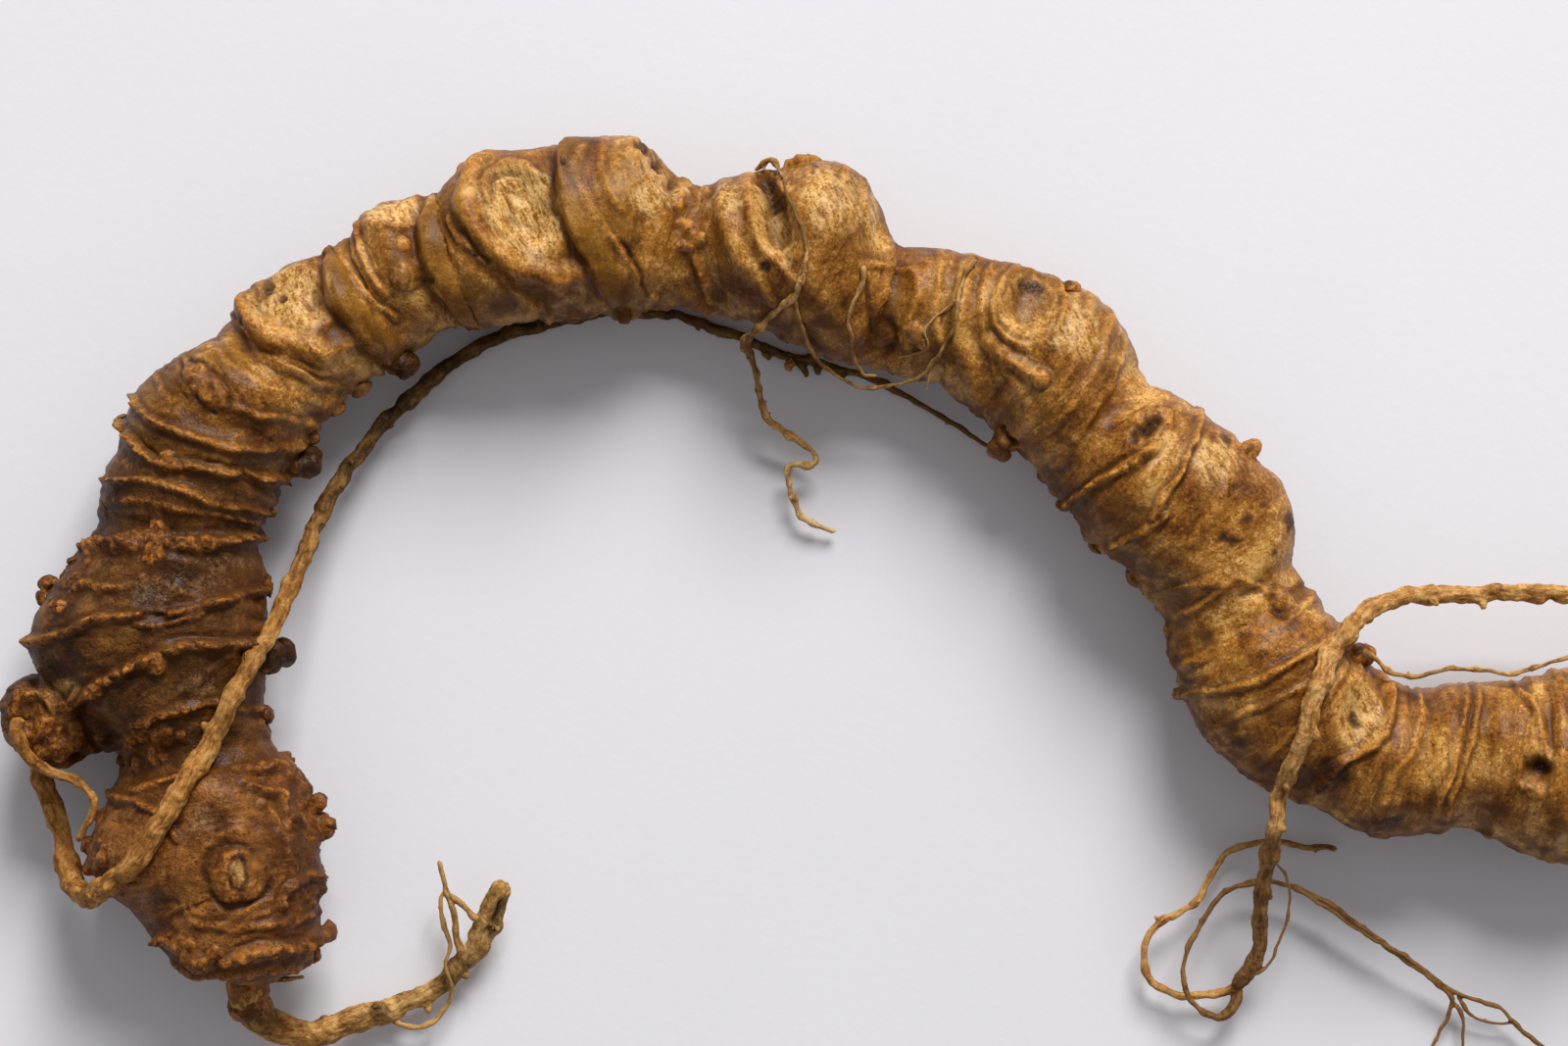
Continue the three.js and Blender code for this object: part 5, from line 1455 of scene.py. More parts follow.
# ---- the rhizome
@dataclass
class Rhizome:
    """The ringed, arched body of the root with its side branch, knuckles, ridges and stem scars."""

    name: str = "rhizome_body"
    node: str = "rhizome"
    slot: str = "bark"
    step: float = 0.5  # spacing of the rings of the first rough skin
    segments: int = 96
    inset: float = 0.55  # how far the rough skin stays inside the outline, which the relief fills
    round_height: float = 0.9
    full_half_width: float = 9.0
    wide_height: float = 0.4
    end_round: float = 5.0
    grain: float = 0.25
    passes: int = 6  # how many times the grown skin is smoothed
    most_triangles: int = 196000
    old_until: float = 46.0  # distance along the spine where the old dark part ends
    young_from: float = 72.0
    stub_step: float = 0.3
    stub_segments: int = 16
    round_ends: float = 0.15  # how far a stub's end is rounded
    buds: int = 4  # small balls around each knuckle
    ring_stretch: Point3 = (1.0, 0.25, 0.25)  # draws a noise out round the rhizome
    fold_stretch: Point3 = (1.0, 0.22, 0.22)
    broad: Unevenness = Unevenness(0.26, 8.0, layers=2)
    dents: Unevenness = Unevenness(0.24, 3.6, 70.0)
    rings: Unevenness = Unevenness(0.045, 1.3, layers=2)
    crust: Unevenness = Unevenness(1.0, 1.5, 11.0, 2)
    young_crust: float = 0.035
    old_crust: float = 0.085  # how much is added to that at the old end
    folds: Unevenness = Unevenness(1.0, 3.6, 90.0, 2)
    fold_depth: float = 0.50
    flank: Unevenness = Unevenness(1.0, 2.2, 23.0, 2)
    flank_lumps: float = 0.55
    knob_coarse: Unevenness = Unevenness(1.0, 1.1, 31.0, 2)
    knob_fine: Unevenness = Unevenness(0.5, 0.55, 3.0)
    knob_lumps: float = 0.30
    pores: Unevenness = Unevenness(0.035, 0.8, 47.0)
    knob_dark: float = 0.5
    knob_crest: float = 0.6
    under_shade: float = 0.30  # painted shade: how much darker the skin is made underneath
    inner_shade: float = 0.42  # painted shade: how much darker the skin is made inside the arch
    inner_from: Point2 = (1.5, 8.0)  # how far from the spine the inside of the arch starts and is full
    near_passes: int = 8  # smoothing that tells a small bulge from its surroundings
    far_passes: int = 32  # the further smoothing that tells a wide trough from them
    features: tuple[object, ...] = field(
        default=NECKS + FORMS + BEADED + PLAIN + COLLARS + LUMPS + CLUSTERS + LINES + PITS + COLOUR_PATCHES)

    def spine(self) -> Spine:
        """Lay the spine through the middles of the sections.

        Returns:
            The spine.
        """
        rows = []
        for outer_x, outer_y, inner_x, inner_y, underside in SECTIONS:
            half = math.hypot(outer_x - inner_x, outer_y - inner_y) / 2
            high = self.round_height * min(half, self.full_half_width)
            high += self.wide_height * max(0.0, half - self.full_half_width)
            rows.append(((outer_x + inner_x) / 2, (outer_y + inner_y) / 2, underside + high, half, high,
                         (inner_x - outer_x) / half, (inner_y - outer_y) / half))
        return Spine(smooth_run(np.array(rows), self.step))

    def ball(self, x: float, y: float, z: float, radius: float) -> bpy.types.Object:
        """Make one ball.

        Args:
            x: its middle, along.
            y: its middle, across.
            z: its middle, up.
            radius: its radius.

        Returns:
            The ball.
        """
        bpy.ops.object.select_all(action="DESELECT")
        bpy.ops.mesh.primitive_ico_sphere_add(subdivisions=2, radius=radius * MM, location=(x * MM, y * MM, z * MM))
        bpy.ops.object.transform_apply(location=True, rotation=True, scale=True)
        return bpy.context.object

    def knobs(self) -> list[bpy.types.Object]:
        """Make the knuckles, each a heap of balls, the side branch, and the stubs of old roots.

        Returns:
            All of them, loose.
        """
        rng = np.random.default_rng(21)
        made = [self.ball(*ball) for ball in SIDE_BRANCH]
        for x, y, z, radius in KNUCKLES:
            made.append(self.ball(x, y, z, radius * 0.8))
            for _ in range(self.buds):
                way = rng.normal(size=3)
                way *= radius * 0.55 / np.linalg.norm(way)
                made.append(self.ball(x + way[0], y + way[1], z + way[2], radius * rng.uniform(0.4, 0.55)))
        for start, end, radius in STUBS:
            knots = np.array([(*start, radius, radius), (*((a + b) / 2 for a, b in zip(start, end)), radius, radius),
                              (*end, radius * 0.85, radius * 0.85)])
            spine = Spine(smooth_run(knots, self.stub_step))
            made.append(skin_along(spine, self.stub_segments, self.round_ends, "stub"))
        return made

    def build(self) -> bpy.types.Object:
        """Grow the body and carve its bark.

        Returns:
            The finished piece, undressed.
        """
        spine = self.spine()
        rough = Spine(spine.rows - np.array([0, 0, 0, self.inset, self.inset, 0, 0]))
        body = join([skin_along(rough, self.segments, self.end_round, self.name), *self.knobs()], self.name)
        grow_together(body, self.grain, self.passes)
        self.carve(body, spine)
        thin_out(body, self.most_triangles)
        return body

    def on_knobs(self, points: np.ndarray) -> np.ndarray:
        """Give 1 on the knuckles and stubs and 0 away from them.

        Args:
            points: places, one a row.

        Returns:
            One number a place.
        """
        knobs = [*KNUCKLES, *((*end, radius * 1.3) for *ends, radius in STUBS for end in ends)]
        share = np.zeros(len(points))
        for x, y, z, radius in knobs:
            gap = np.linalg.norm(points - np.array([x, y, z]), axis=1)
            share = np.maximum(share, (1 - smooth_step(1.0, 1.7, gap / radius)) * smooth_step(0.3, 1.1, radius))
        return share

    def carve(self, body: bpy.types.Object, spine: Spine) -> None:
        """Work all the features into the skin and store the marks that the material reads.

        Args:
            body: the smooth body.
            spine: its middle line.
        """
        noise = Noise(5)
        points, normals = read_points(body), read_normals(body)
        laid, _ = straighten(points, [spine])
        relief = Relief(points, normals, noise)
        for feature in self.features:
            relief.add(feature)
        marks = relief.marks
        age = 1 - smooth_step(self.old_until, self.young_from, laid[:, 0])
        smooth = 1 - 0.7 * marks[:, Mark.COLLAR.value]
        move = relief.rise + relief.fall + relief.form + self.inset * 0.55
        move += self.broad.over(noise, points) + self.dents.over(noise, points) * smooth
        move += self.rings.over(noise, laid * np.array(self.ring_stretch)) * smooth
        move += (self.young_crust + self.old_crust * age) * self.crust.over(noise, points) * smooth
        folds = np.abs(self.folds.over(noise, laid * np.array(self.fold_stretch)))
        move += self.fold_depth * (folds - 0.2) * smooth * (1 - 0.8 * marks[:, Mark.SCAR.value])
        inner = 0.2 + 0.8 * smooth_step(-2.0, 3.0, laid[:, 1])
        flank = inner * (1 - smooth_step(0.15, 0.65, np.abs(normals[:, 2])))
        move += self.flank_lumps * flank * np.maximum(0.0, self.flank.over(noise, points) - 0.1)
        knob = self.on_knobs(points)
        move += self.knob_lumps * knob * (self.knob_coarse.over(noise, points) + self.knob_fine.over(noise, points))
        move += self.pores.over(noise, points) * smooth
        everywhere = np.arange(len(points))
        inside = smooth_step(*self.inner_from, laid[:, 1]) * np.clip(0.8 + relief.ragged, 0, 1.4)
        # Dark stains and pale crests on the knobs, and painted shade on the underside and inside the arch.
        for kind, strength, cover in (
                (Mark.DARK, self.knob_dark, knob * smooth_step(0.0, -0.35, noise.at(points, 1.0))),
                (Mark.CREST, self.knob_crest, knob),
                (Mark.DARK, self.under_shade, 1 - smooth_step(-0.1, 0.55, normals[:, 2])),
                (Mark.DARK, self.inner_shade, inside)):
            relief.stamp(kind, everywhere, strength * cover)
        points = points + normals * move[:, None]
        points[:, 2] = np.maximum(points[:, 2], FLOOR_GAP)
        write_points(body, points)

        # The bulges and hollows of the finished skin. The materials paint shade into the hollows.
        soft, outward = neighbour_mean(body, points, self.near_passes), read_normals(body)
        bulge = dot_rows(points - soft, outward)
        trough = dot_rows(neighbour_mean(body, soft, self.far_passes) - soft, outward)
        hollow = np.maximum(smooth_step(0.03, 0.13, -bulge), 0.7 * smooth_step(0.06, 0.32, trough))
        set_marks(body, "laid", laid * MM)
        set_marks(body, "marks", marks[:, :4])
        set_marks(body, "wear_and_shade", np.stack([age, smooth_step(0.04, 0.16, bulge), hollow,
                                          marks[:, Mark.BLOOM.value]], axis=1))


# ---- the thin roots
Run = tuple[tuple[float, float, Optional[float], float], ...]


@dataclass
class Root:
    """A thin root with its branches, swollen joints and short spurs."""

    node: str
    skin: RootSkin
    runs: tuple[Run, ...]
    grain: float
    joint_gap: float  # distance between swollen joints
    swell: float  # how much thicker a joint is
    spurs: float  # how many of the joints carry a spur
    spur_length: float
    dents: tuple[object, ...] = ()
    most_triangles: int = 150000
    step: float = 0.3  # spacing of the rows of a spine
    sag: int = 9  # rows over which the height is averaged
    shake: Unevenness = Unevenness(0.26, 2.6)
    kinks: Unevenness = Unevenness(0.11, 1.2)
    shake_shifts: Point2 = (0.0, 20.0)
    kink_shifts: Point2 = (35.0, 55.0)
    plump: Unevenness = Unevenness(0.10, 3.0, 5.0)
    wrinkles: Unevenness = Unevenness(1.0, 0.6, layers=2)
    wrinkle_depth: float = 0.08
    wrinkle_stretch: Point3 = (0.2, 1.0, 1.0)  # draws the noise out along the root
    lumps: Unevenness = Unevenness(1.0, 1.5, layers=3)
    lump_height: float = 0.15
    nodules: Unevenness = Unevenness(1.0, 1.9, 60.0)
    nodule_height: float = 0.22
    nodule_stretch: Point3 = (1.0, 1.0, 0.6)

    @property
    def name(self) -> str:
        """Name the piece after the node that it stands for."""
        return f"{self.node}_skin"

    def resting(self, back: BVHTree, x: float, y: float, radius: float) -> float:
        """Give the height at which a root of that radius lies on the rhizome."""
        hit, normal, _, _ = back.ray_cast(Vector((x * MM, y * MM, 0.1)), Vector((0, 0, -1)))
        return hit.z / MM + radius / max(0.45, normal.z) if hit else 0.0

    def spine(self, run: Run, back: BVHTree, rng: np.random.Generator, noise: Noise) -> tuple[Spine, np.ndarray]:
        """Lay one run, draped over the rhizome where it lies on it, with its swollen joints.

        Args:
            run: the run's points.
            back: the rhizome's surface.
            rng: spaces the joints.
            noise: makes the run uneven.

        Returns:
            The spine, and the rows at which it has joints.
        """
        rows = np.array([(x, y, self.resting(back, x, y, r) if z is ON_TOP else z, r, float(z is ON_TOP))
                         for x, y, z, r in run])
        rows = smooth_run(rows, self.step)
        for row in np.flatnonzero(rows[:, 4] > 0.02):
            rows[row, 2] = max(rows[row, 2], self.resting(back, rows[row, 0], rows[row, 1], rows[row, 3]))
        height = np.convolve(np.pad(rows[:, 2], self.sag // 2, "edge"), np.ones(self.sag) / self.sag, "valid")
        rows[:, 2] = np.maximum(height, rows[:, 3] + 0.03)
        length = np.arange(len(rows)) * self.step
        joints, place = [], rng.uniform(0.4, 1.0) * self.joint_gap
        while place < length[-1] - 1:
            joints.append(place)
            place += self.joint_gap * rng.uniform(0.6, 1.4)
        fat = np.ones(len(rows))
        for joint in joints:
            fat += self.swell * rng.uniform(0.5, 1.3) * np.exp(-((length - joint) / (0.35 + 0.5 * rows[:, 3])) ** 2)
        radius = rows[:, 3] * fat * (1 + self.plump.over(noise, rows[:, :3]))
        shake, kinks = (np.stack([part.over(noise, rows[:, :3] + shift) for shift in shifts], axis=1)
                        for part, shifts in ((self.shake, self.shake_shifts), (self.kinks, self.kink_shifts)))
        rows[:, :2] += shake * np.minimum(1, rows[:, 3:4] / 0.5) + kinks
        spine = Spine(np.column_stack([rows[:, :3], radius, radius]))
        return spine, np.array([int(joint / self.step) for joint in joints], int)

    def spur(self, spine: Spine, row: int, rng: np.random.Generator) -> bpy.types.Object:
        """Make one short broken rootlet that sticks out of a joint.

        Args:
            spine: the root's spine.
            row: the joint's row in it.
            rng: picks its way and length.

        Returns:
            The spur.
        """
        turn = rng.uniform(-0.3, math.pi + 0.3)
        way = spine.side[row] * math.cos(turn) + spine.up[row] * math.sin(turn)
        way = way + spine.ahead[row] * rng.uniform(-0.5, 0.7)
        way /= np.linalg.norm(way)
        thick = spine.rows[row, 3]
        long = thick * 0.8 + self.spur_length * rng.uniform(0.4, 1.2) * min(1, thick)
        start = spine.middle[row]
        knots = [(*(start + way * long * share), thick * size, thick * size)
                 for share, size in ((0.0, 0.7), (0.5, 0.5), (0.8, 0.36), (1.0, 0.26))]
        return skin_along(Spine(smooth_run(np.array(knots), 0.2)), 8, 0.15, "spur")

    def build(self, back: BVHTree, seed: int) -> bpy.types.Object:
        """Grow the root.

        Args:
            back: the rhizome's surface, which the root lies on.
            seed: picks its joints and its unevenness.

        Returns:
            The finished piece, undressed.
        """
        rng, noise = np.random.default_rng(seed), Noise(seed + NOISE_SEEDS_FROM)
        spines, limbs = [], []
        for run in self.runs:
            spine, joints = self.spine(run, back, rng, noise)
            spines.append(spine)
            thick = float(spine.rows[:, 3].max())
            limbs.append(skin_along(spine, 14 if thick > 0.6 else 10, 0.5 * thick, self.name))
            limbs += [self.spur(spine, row, rng) for row in joints if rng.uniform() < self.spurs]
        piece = join(limbs, self.name)
        grow_together(piece, self.grain, 2)
        self.wrinkle(piece, spines, noise)
        thin_out(piece, self.most_triangles)
        return piece

    def wrinkle(self, piece: bpy.types.Object, spines: Sequence[Spine], noise: Noise) -> None:
        """Give the skin its lengthwise wrinkles and dents, and store the marks for the material.

        Args:
            piece: the smooth root.
            spines: its middle lines.
            noise: makes it uneven.
        """
        points, normals = read_points(piece), read_normals(piece)
        laid, radius = straighten(points, spines)
        reach = np.minimum(1.0, radius + 0.12)
        move = self.wrinkle_depth * reach * self.wrinkles.over(noise, laid * np.array(self.wrinkle_stretch))
        move += self.lump_height * reach * self.lumps.over(noise, points)
        nodules = smooth_step(0.25, 0.7, self.nodules.over(noise, points * np.array(self.nodule_stretch)))
        move += self.nodule_height * np.minimum(0.8, radius + 0.25) * nodules
        relief = Relief(points, normals, noise)
        for dent in self.dents:
            relief.add(dent)
        points = points + normals * (move + relief.fall + relief.rise)[:, None]
        points[:, 2] = np.maximum(points[:, 2], FLOOR_GAP)
        write_points(piece, points)
        soft = neighbour_mean(piece, points, 4)
        bulge = dot_rows(points - soft, read_normals(piece)) / np.maximum(0.25, reach)
        set_marks(piece, "laid", laid * MM)
        # The material reads three of these. The fourth makes them a colour, which the export keeps.
        set_marks(piece, "wear_and_shade", np.stack([relief.marks[:, Mark.DARK.value], smooth_step(0.02, 0.09, bulge),
                                           smooth_step(0.015, 0.08, -bulge), np.ones(len(points))], axis=1))


LONG_ROOT: Run = (
    (-89.6, -13.4, 5.2, 1.22), (-91.4, -17.6, 4.6, 1.13), (-90.3, -21, 4.4, 1.03), (-89, -25, 5.4, 1.03),
    (-87.9, -28, 7.6, 1.13), (-85.9, -29.6, 10.6, 1.08), (-83.3, -28.6, ON_TOP, 1.03), (-80.2, -26.2, ON_TOP, 1.03),
    (-77.4, -22.3, ON_TOP, 1.03), (-74.9, -18.2, ON_TOP, 1.03), (-72.4, -13.6, ON_TOP, 0.99),
    (-70.4, -9.8, 15.6, 0.94), (-68.5, -5.8, 13.6, 0.94), (-66.6, -1.8, 10.8, 0.89), (-65, 2.2, 8.8, 0.86),
    (-63.6, 6.2, 6.8, 0.85), (-62, 10.2, 5.2, 0.82), (-59.8, 14, 4.2, 0.79), (-56.8, 17.8, 3.2, 0.75),
    (-53.5, 21, 2.5, 0.78), (-50, 24.2, 2, 0.75), (-46, 26.8, 1.7, 0.7), (-42, 28.2, 1.5, 0.68),
    (-37.5, 29.3, 1.3, 0.62), (-33.5, 30, 1.2, 0.58), (-29.5, 30, 1.2, 0.54), (-26, 29.6, 1.2, 0.52),
    (-22.4, 28.5, 1.2, 0.5), (-19, 27.1, 1.3, 0.48), (-15, 25.6, 1.4, 0.46), (-10, 24.3, 1.4, 0.42),
    (-5, 22.8, 1.4, 0.37), (-1, 20.5, 1.5, 0.33), (3, 18, 2, 0.28), (6.2, 16, 2.8, 0.24),
)

ROOTS = (
    Root("long_root", BROWN_ROOT, (LONG_ROOT, *(
        ((x, y, z, 0.42), (x + dx, y - 0.3 * down, z, size), (x - dx, y - 0.65 * down, z - 0.1, size * 0.8),
         (x + 0.2, y - down, z - 0.2, size * 0.6))
        for x, y, z, dx, down, size in (
            (-14.3, 25.4, 1.4, 0.25, 1.7, 0.52), (-13, 25.1, 1.4, -0.2, 2, 0.45), (-11.4, 24.7, 1.4, 0.2, 1.3, 0.48),
            (-16.8, 26.3, 1.3, -0.25, 1.4, 0.45), (-8.8, 24, 1.4, 0.2, 1, 0.4), (-18.4, 26.6, 1.3, 0.2, -0.9, 0.42),
            (-12.2, 24.9, 1.4, 0.1, -0.8, 0.42), (-24.6, 29, 1.2, 0.1, -0.9, 0.42), (-63, 8, 6, 0.3, 1.3, 0.42)))
    ), grain=0.15, joint_gap=4, swell=0.13, spurs=0.6, spur_length=0.9,
       dents=(Patch((-70, -8), (5, 8), -30, Mark.DARK, 0.12),)),
    Root("knob_rootlet", BROWN_ROOT, (
        ((-92.2, -11.4, 12.9, 0.75), (-92.3, -13.4, 12.6, 0.7), (-91.2, -15.6, 11.6, 0.6), (-89.4, -17.1, 10.8, 0.5),
         (-87.4, -17.6, 10.8, 0.45), (-85.6, -18.6, 11.6, 0.42), (-84.4, -20, 12.8, 0.4), (-84.8, -21.6, 12.9, 0.38),
         (-85.7, -22.8, 12, 0.36), (-86.6, -24.2, 10.8, 0.34)),
    ), grain=0.09, joint_gap=2.6, swell=0.3, spurs=0.6, spur_length=0.9),
    Root("tail_root", TAIL_ROOT, (
        ((-69.4, -36, 8, 1.9), (-69.8, -39.2, 7.2, 1.7), (-69.2, -41.8, 6.2, 1.7), (-67.2, -43.6, 5, 1.55),
         (-64, -44.5, 3.8, 1.35), (-60.2, -43.6, 2.8, 1.25), (-56.4, -42.3, 2.2, 1.15), (-52.8, -41, 2, 1),
         (-49.8, -39, 2.2, 1), (-47.6, -36.7, 2.6, 1), (-46.2, -34.2, 3.2, 1.2), (-45, -31.6, 4, 1.3),
         (-44, -29.6, 4.8, 1.15), (-43.4, -28.8, 5, 1)),
        ((-56.2, -42.3, 2.2, 0.45), (-55.2, -43.4, 2.4, 0.3), (-53.2, -44, 2.6, 0.28), (-51.2, -43.4, 2.6, 0.26),
         (-49.8, -41.6, 2.6, 0.25), (-49.3, -39.4, 4, 0.25), (-49.9, -37.4, 4, 0.25), (-49.5, -35.2, 3.4, 0.24),
         (-50.4, -32.6, 3, 0.24), (-50.4, -30.6, 2.8, 0.22), (-49.8, -30, 2.8, 0.2)),
        ((-48.2, -37.2, 2.6, 0.5), (-48.7, -34.6, 4, 0.36), (-49.1, -31.4, 4.8, 0.32), (-49.8, -28.8, 5.4, 0.28),
         (-50.5, -26.5, 5.8, 0.24)),
        ((-46.4, -32.6, 4.2, 0.4), (-48, -31.2, 4.8, 0.28), (-49.4, -29.9, 5.1, 0.25)),
        ((-68.2, -38.9, 7, 0.35), (-66, -38.6, 6.6, 0.28), (-64, -38.4, 6.4, 0.2)),
    ), grain=0.12, joint_gap=4.6, swell=0.16, spurs=0.5, spur_length=1.2,
       dents=(Crevice(((-45.2, -34), (-44.4, -32.6), (-43.8, -31)), 1.1, 0.6),
               Patch((-68.6, -43), (2.4, 1.6), 0, Mark.DARK, 0.4), Patch((-49, -38.2), (3, 2.2), 40, Mark.DARK, 0.4),
               Patch((-56.4, -42.4), (1.2, 1.2), 0, Mark.DARK, 0.5), Patch((-49.8, -38), (1, 5), 0, Mark.DARK, 0.3))),
    Root("draped_rootlet", FINE_ROOT, (
        ((-18, 44, 9.4, 0.22), (-16.3, 44.9, 10.8, 0.24), (-15.2, 43.4, ON_TOP, 0.16), (-14.7, 41.2, ON_TOP, 0.13),
         (-13.6, 38.6, ON_TOP, 0.13), (-12.8, 36, ON_TOP, 0.15), (-12.9, 33.4, ON_TOP, 0.2),
         (-14, 30.8, ON_TOP, 0.27), (-16.2, 29.2, ON_TOP, 0.28), (-17.7, 27.6, 11.6, 0.32), (-18.9, 26.4, 9.4, 0.42),
         (-18.2, 24.6, 7.6, 0.3), (-17.6, 22.2, 6.2, 0.28), (-17.2, 20, 5.2, 0.28), (-16.2, 18.5, 4.4, 0.34),
         (-14.6, 17.3, 3.8, 0.3), (-12.8, 16.1, 3.4, 0.27), (-11.6, 14.8, 3.2, 0.27), (-12.4, 14, 3.2, 0.27),
         (-14.4, 13.9, 3, 0.28), (-14.4, 12, 2.6, 0.27), (-13.6, 9.4, 2, 0.27), (-12, 8, 1.6, 0.27),
         (-9.7, 7.3, 1.2, 0.26)),
    ), grain=0.06, joint_gap=1.8, swell=0.5, spurs=0.7, spur_length=0.9,
       # The first patch is painted shade: the rootlet darkened where it lies in the shade along the bulge's edge.
       dents=(Patch((-14.2, 39.8), (2.6, 6), 0, Mark.DARK, 0.62),
               Patch((-17.6, 24.6), (2.6, 4.2), 0, Mark.DARK, 0.4))),
    Root("garland_rootlet", FINE_ROOT, (
        ((-12.9, 34.6, ON_TOP, 0.15), (-13.6, 32.2, ON_TOP, 0.16), (-13.8, 30.2, ON_TOP, 0.17),
         (-13.2, 27.9, ON_TOP, 0.17), (-12.2, 25.4, 11.4, 0.18), (-10.6, 23.8, 10.2, 0.18), (-8.8, 22.7, 9.4, 0.17),
         (-6.8, 21.9, 8.6, 0.17), (-4.4, 22.1, 8.8, 0.17), (-1.4, 22.9, 9.8, 0.18), (0.4, 24.8, ON_TOP, 0.18),
         (1.8, 27.4, ON_TOP, 0.19), (2.5, 30.2, ON_TOP, 0.2), (3, 32.8, ON_TOP, 0.24), (4.4, 34.8, ON_TOP, 0.32)),
        ((2.9, 31.6, ON_TOP, 0.22), (2.5, 30.5, ON_TOP, 0.2), (1.4, 29.8, ON_TOP, 0.12), (0.2, 28.8, ON_TOP, 0.11),
         (-0.8, 27.6, ON_TOP, 0.11), (-0.4, 26, ON_TOP, 0.11), (-1.6, 25.3, ON_TOP, 0.11), (-3.4, 25, ON_TOP, 0.11)),
        ((0.2, 24.4, ON_TOP, 0.14), (-0.3, 22.8, 10.4, 0.12), (-0.6, 21.6, 9.4, 0.11)),
    ), grain=0.055, joint_gap=3.4, swell=0.35, spurs=0.4, spur_length=0.7,
       dents=(Patch((-6, 27), (14, 12), 0, Mark.DARK, 0.22),)),
    Root("short_rootlet", FINE_ROOT, (
        ((-7, 34, ON_TOP, 0.26), (-7.1, 32.4, ON_TOP, 0.22), (-8, 30.4, ON_TOP, 0.22), (-8.5, 28.5, ON_TOP, 0.2),
         (-8.1, 26.2, ON_TOP, 0.19), (-7.6, 24.2, 10.8, 0.19), (-6.8, 23.2, 9.8, 0.18), (-5.4, 23.2, 9.6, 0.17)),
    ), grain=0.06, joint_gap=4, swell=0.3, spurs=0.3, spur_length=0.7,
       dents=(Patch((-7.6, 28.5), (4, 8), 0, Mark.DARK, 0.25),)),
    Root("side_root", TAN_ROOT, (
        ((85.6, -7, 12.6, 1), (84.2, -3, 14, 0.9), (80, 0.2, 13.4, 0.85), (73, 1.6, 11.6, 0.82), (66, 1.1, 10.2, 0.8),
         (60, 1.1, 9.6, 0.82), (54, 0.9, 9.8, 0.84), (49, 0.8, 11, 0.84), (45, -0.1, 13.2, 0.86), (42.2, -2, 15, 0.9),
         (40, -4.6, ON_TOP, 0.95), (38.4, -7.6, ON_TOP, 0.95), (37.3, -11.2, ON_TOP, 0.92), (36.3, -15, ON_TOP, 0.86),
         (35.2, -18.4, ON_TOP, 0.84), (34.4, -22.6, 13.6, 0.82), (33.9, -26.4, 10.6, 0.8), (33.7, -30, 8, 0.78),
         (33.9, -33.4, 5.8, 0.78), (33.8, -36.4, 4.4, 0.8), (32.6, -38.6, 3.4, 0.78), (31.6, -40, 2.8, 0.7)),
        ((32, -39.6, 2.8, 0.6), (30, -40.6, 2.4, 0.5), (26.8, -40.9, 2.2, 0.44), (24.2, -40.1, 2.2, 0.42),
         (22.7, -38.9, 2.4, 0.4), (22.3, -36.8, 2.8, 0.38), (22.7, -34.6, 3.2, 0.38), (24, -32.9, 3.4, 0.38),
         (26.8, -31.5, 3.2, 0.38), (28.2, -30, 2.8, 0.4), (29.4, -27.8, 2.4, 0.38), (31.2, -25.8, 2, 0.34),
         (33.6, -25.1, 1.8, 0.32), (36.2, -24.8, 1.6, 0.3), (39, -25.6, 1.4, 0.32), (41, -25.3, 1.3, 0.33),
         (42.5, -25.6, 1.2, 0.3)),
        ((31.8, -39.8, 2.8, 0.75), (31.5, -41.6, 2.8, 0.6), (30, -42.8, 3, 0.4), (28, -42.1, 3.8, 0.3),
         (26.5, -40.2, 4.4, 0.28), (26.1, -37.8, 4.6, 0.27), (27, -34.8, 4.4, 0.27), (28.8, -31.8, 4, 0.27),
         (30.8, -29.6, 3.8, 0.28), (33.4, -28.9, 4, 0.28), (36.4, -29.1, 4.2, 0.28), (40, -30.5, 4.2, 0.28),
         (44, -33.1, 4, 0.28), (48, -36, 3.6, 0.28), (51.4, -38.5, 3, 0.3), (54, -40.6, 2.4, 0.3),
         (54, -42.4, 1.8, 0.22), (53.2, -44.4, 1.2, 0.2), (51.6, -47.4, 0.8, 0.16)),
        ((37.6, -29.4, 4.4, 0.2), (41, -31.6, 4.4, 0.2), (45.2, -34.4, 4, 0.2), (49, -36.4, 3.8, 0.2),
         (53, -39.4, 2.6, 0.22), (56, -41, 2.4, 0.24), (58.8, -41.8, 2.2, 0.22), (60.4, -43.4, 2, 0.22),
         (62.4, -45.2, 1.8, 0.3), (64, -46.4, 1.6, 0.22)),
        ((54, -41, 2.2, 0.22), (55.3, -43, 1.8, 0.2), (55.5, -45.4, 1.4, 0.18), (55.2, -47.4, 1, 0.16)),
        ((54.6, -40.6, 2.4, 0.22), (56.2, -42.8, 2, 0.18), (58.6, -43.7, 1.8, 0.17), (61, -43.6, 1.8, 0.16)),
        ((33.6, -38.4, 4, 0.3), (35, -37.3, 4.2, 0.18), (35.9, -35, 4.6, 0.16), (36.8, -32.4, 5, 0.16),
         (37, -30, 5.2, 0.16), (36.4, -27.8, 5.6, 0.15), (35.2, -26.4, 7, 0.15)),
    ), grain=0.11, joint_gap=4.4, swell=0.24, spurs=0.6, spur_length=1, most_triangles=190000),
    Root("edge_rootlet", FINE_ROOT, (
        ((43.4, -4.6, 11.8, 0.32), (45.2, -5.9, 11.6, 0.26), (46.8, -7.1, 11.4, 0.24), (49, -7.4, 11.2, 0.23),
         (52.4, -6.6, 11, 0.22), (56, -6.8, 10.8, 0.22), (58.6, -7.1, 11, 0.22), (62, -6.2, 11.4, 0.21),
         (66, -5, 12, 0.2), (70.6, -4.2, 12.4, 0.18)),
    ), grain=0.06, joint_gap=3.4, swell=0.4, spurs=0.7, spur_length=0.9),
)


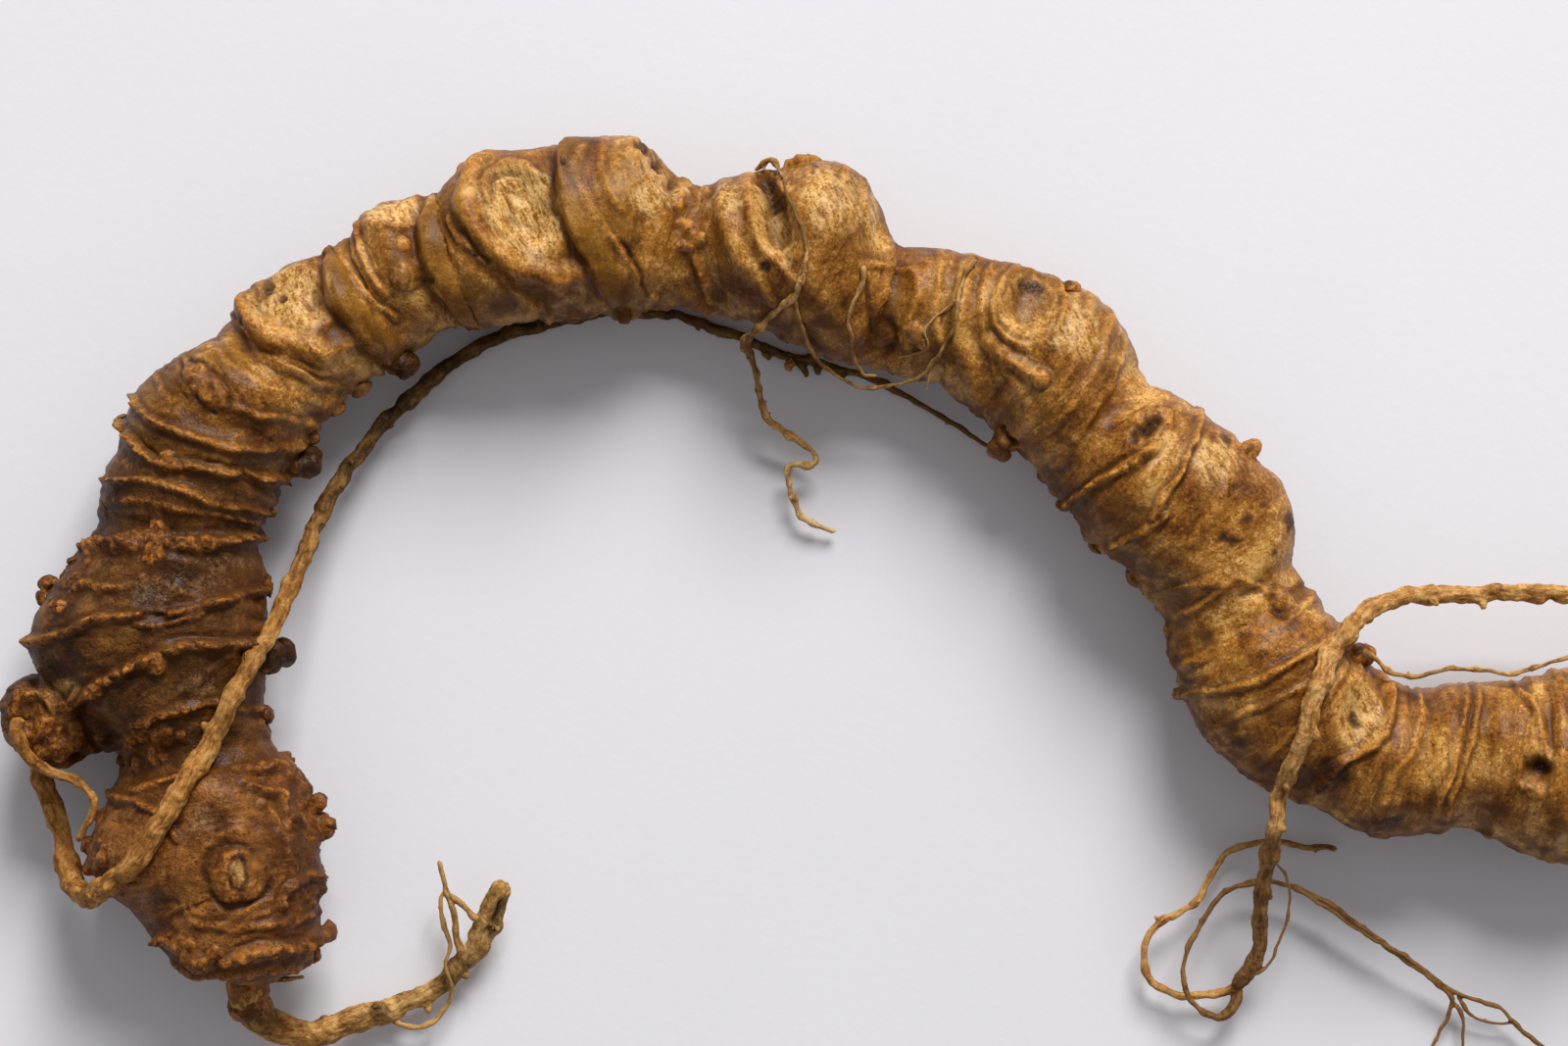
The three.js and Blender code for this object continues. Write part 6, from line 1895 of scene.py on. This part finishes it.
# ---- the studio
@dataclass
class Studio:
    """The sheet of paper, the soft light from the top right, and the camera that looks straight down."""

    aim: Point2 = (-15.0, 8.15)
    height: float = 408.0
    lens: float = 90.0
    paper_size: float = 2.4  # metres, as are the distances of the light
    key_way: Point3 = (0.22, 0.92, 0.71)
    key_distance: float = 1.3
    key_size: float = 0.60
    key_power: float = 21.0
    sky: Colour = (0.98, 0.97, 1.0)
    sky_strength: float = 0.31

    def camera(self) -> None:
        """Hang the camera above the root."""
        data = bpy.data.cameras.new("camera")
        data.lens = self.lens
        camera = bpy.data.objects.new("camera", data)
        camera.location = (self.aim[0] * MM, self.aim[1] * MM, self.height * MM)
        bpy.context.collection.objects.link(camera)
        bpy.context.scene.camera = camera

    def paper(self) -> None:
        """Lay the paper."""
        bpy.ops.object.select_all(action="DESELECT")
        bpy.ops.mesh.primitive_plane_add(size=self.paper_size)
        sheet = bpy.context.object
        sheet.name = "paper_floor"
        sheet.data.materials.append(Paper().material())

    def lights(self) -> None:
        """Hang the soft light and set the sky."""
        way = Vector(self.key_way).normalized()
        data = bpy.data.lights.new("window", "AREA")
        data.shape, data.size, data.energy = "SQUARE", self.key_size, self.key_power
        lamp = bpy.data.objects.new("window", data)
        lamp.location = way * self.key_distance
        lamp.rotation_euler = way.to_track_quat("Z", "Y").to_euler()
        bpy.context.collection.objects.link(lamp)
        world = bpy.data.worlds.new("sky")
        world.use_nodes = True
        back = world.node_tree.nodes["Background"]
        back.inputs["Color"].default_value = (*self.sky, 1.0)
        back.inputs["Strength"].default_value = self.sky_strength
        bpy.context.scene.world = world
        bpy.context.scene.view_settings.view_transform = "Standard"

    def build(self) -> None:
        """Set up all of it."""
        self.camera()
        self.paper()
        self.lights()


def dress(piece: bpy.types.Object, material: bpy.types.Material, node: str) -> None:
    """Give a piece its material and its place in the frame.

    Args:
        piece: the finished mesh object.
        material: its finish.
        node: the CAD node that it stands for.
    """
    piece.data.materials.clear()
    piece.data.materials.append(material)
    piece.data.polygons.foreach_set("use_smooth", [True] * len(piece.data.polygons))
    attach(piece, BODY)
    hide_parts(node)
    LOG.info("%s: %d faces, stands for %s", piece.name, len(piece.data.polygons), node)


def surface_of(piece: bpy.types.Object) -> BVHTree:
    """Give a piece's surface for finding what lies on it."""
    return BVHTree.FromObject(piece, bpy.context.evaluated_depsgraph_get())


def main() -> None:
    """Build the rhizome, then its roots, then the studio."""
    logging.basicConfig(level=logging.INFO, format="%(name)s: %(message)s")
    rhizome = Rhizome()
    body = rhizome.build()
    back = surface_of(body)
    dress(body, BARK.material(), rhizome.node)
    skins = {skin.name: skin.material() for skin in (BROWN_ROOT, TAIL_ROOT, TAN_ROOT, FINE_ROOT)}
    for seed, root in enumerate(ROOTS, FIRST_ROOT_SEED):
        dress(root.build(back, seed), skins[root.skin.name], root.node)
    Studio().build()


if __name__ == "__main__":
    main()
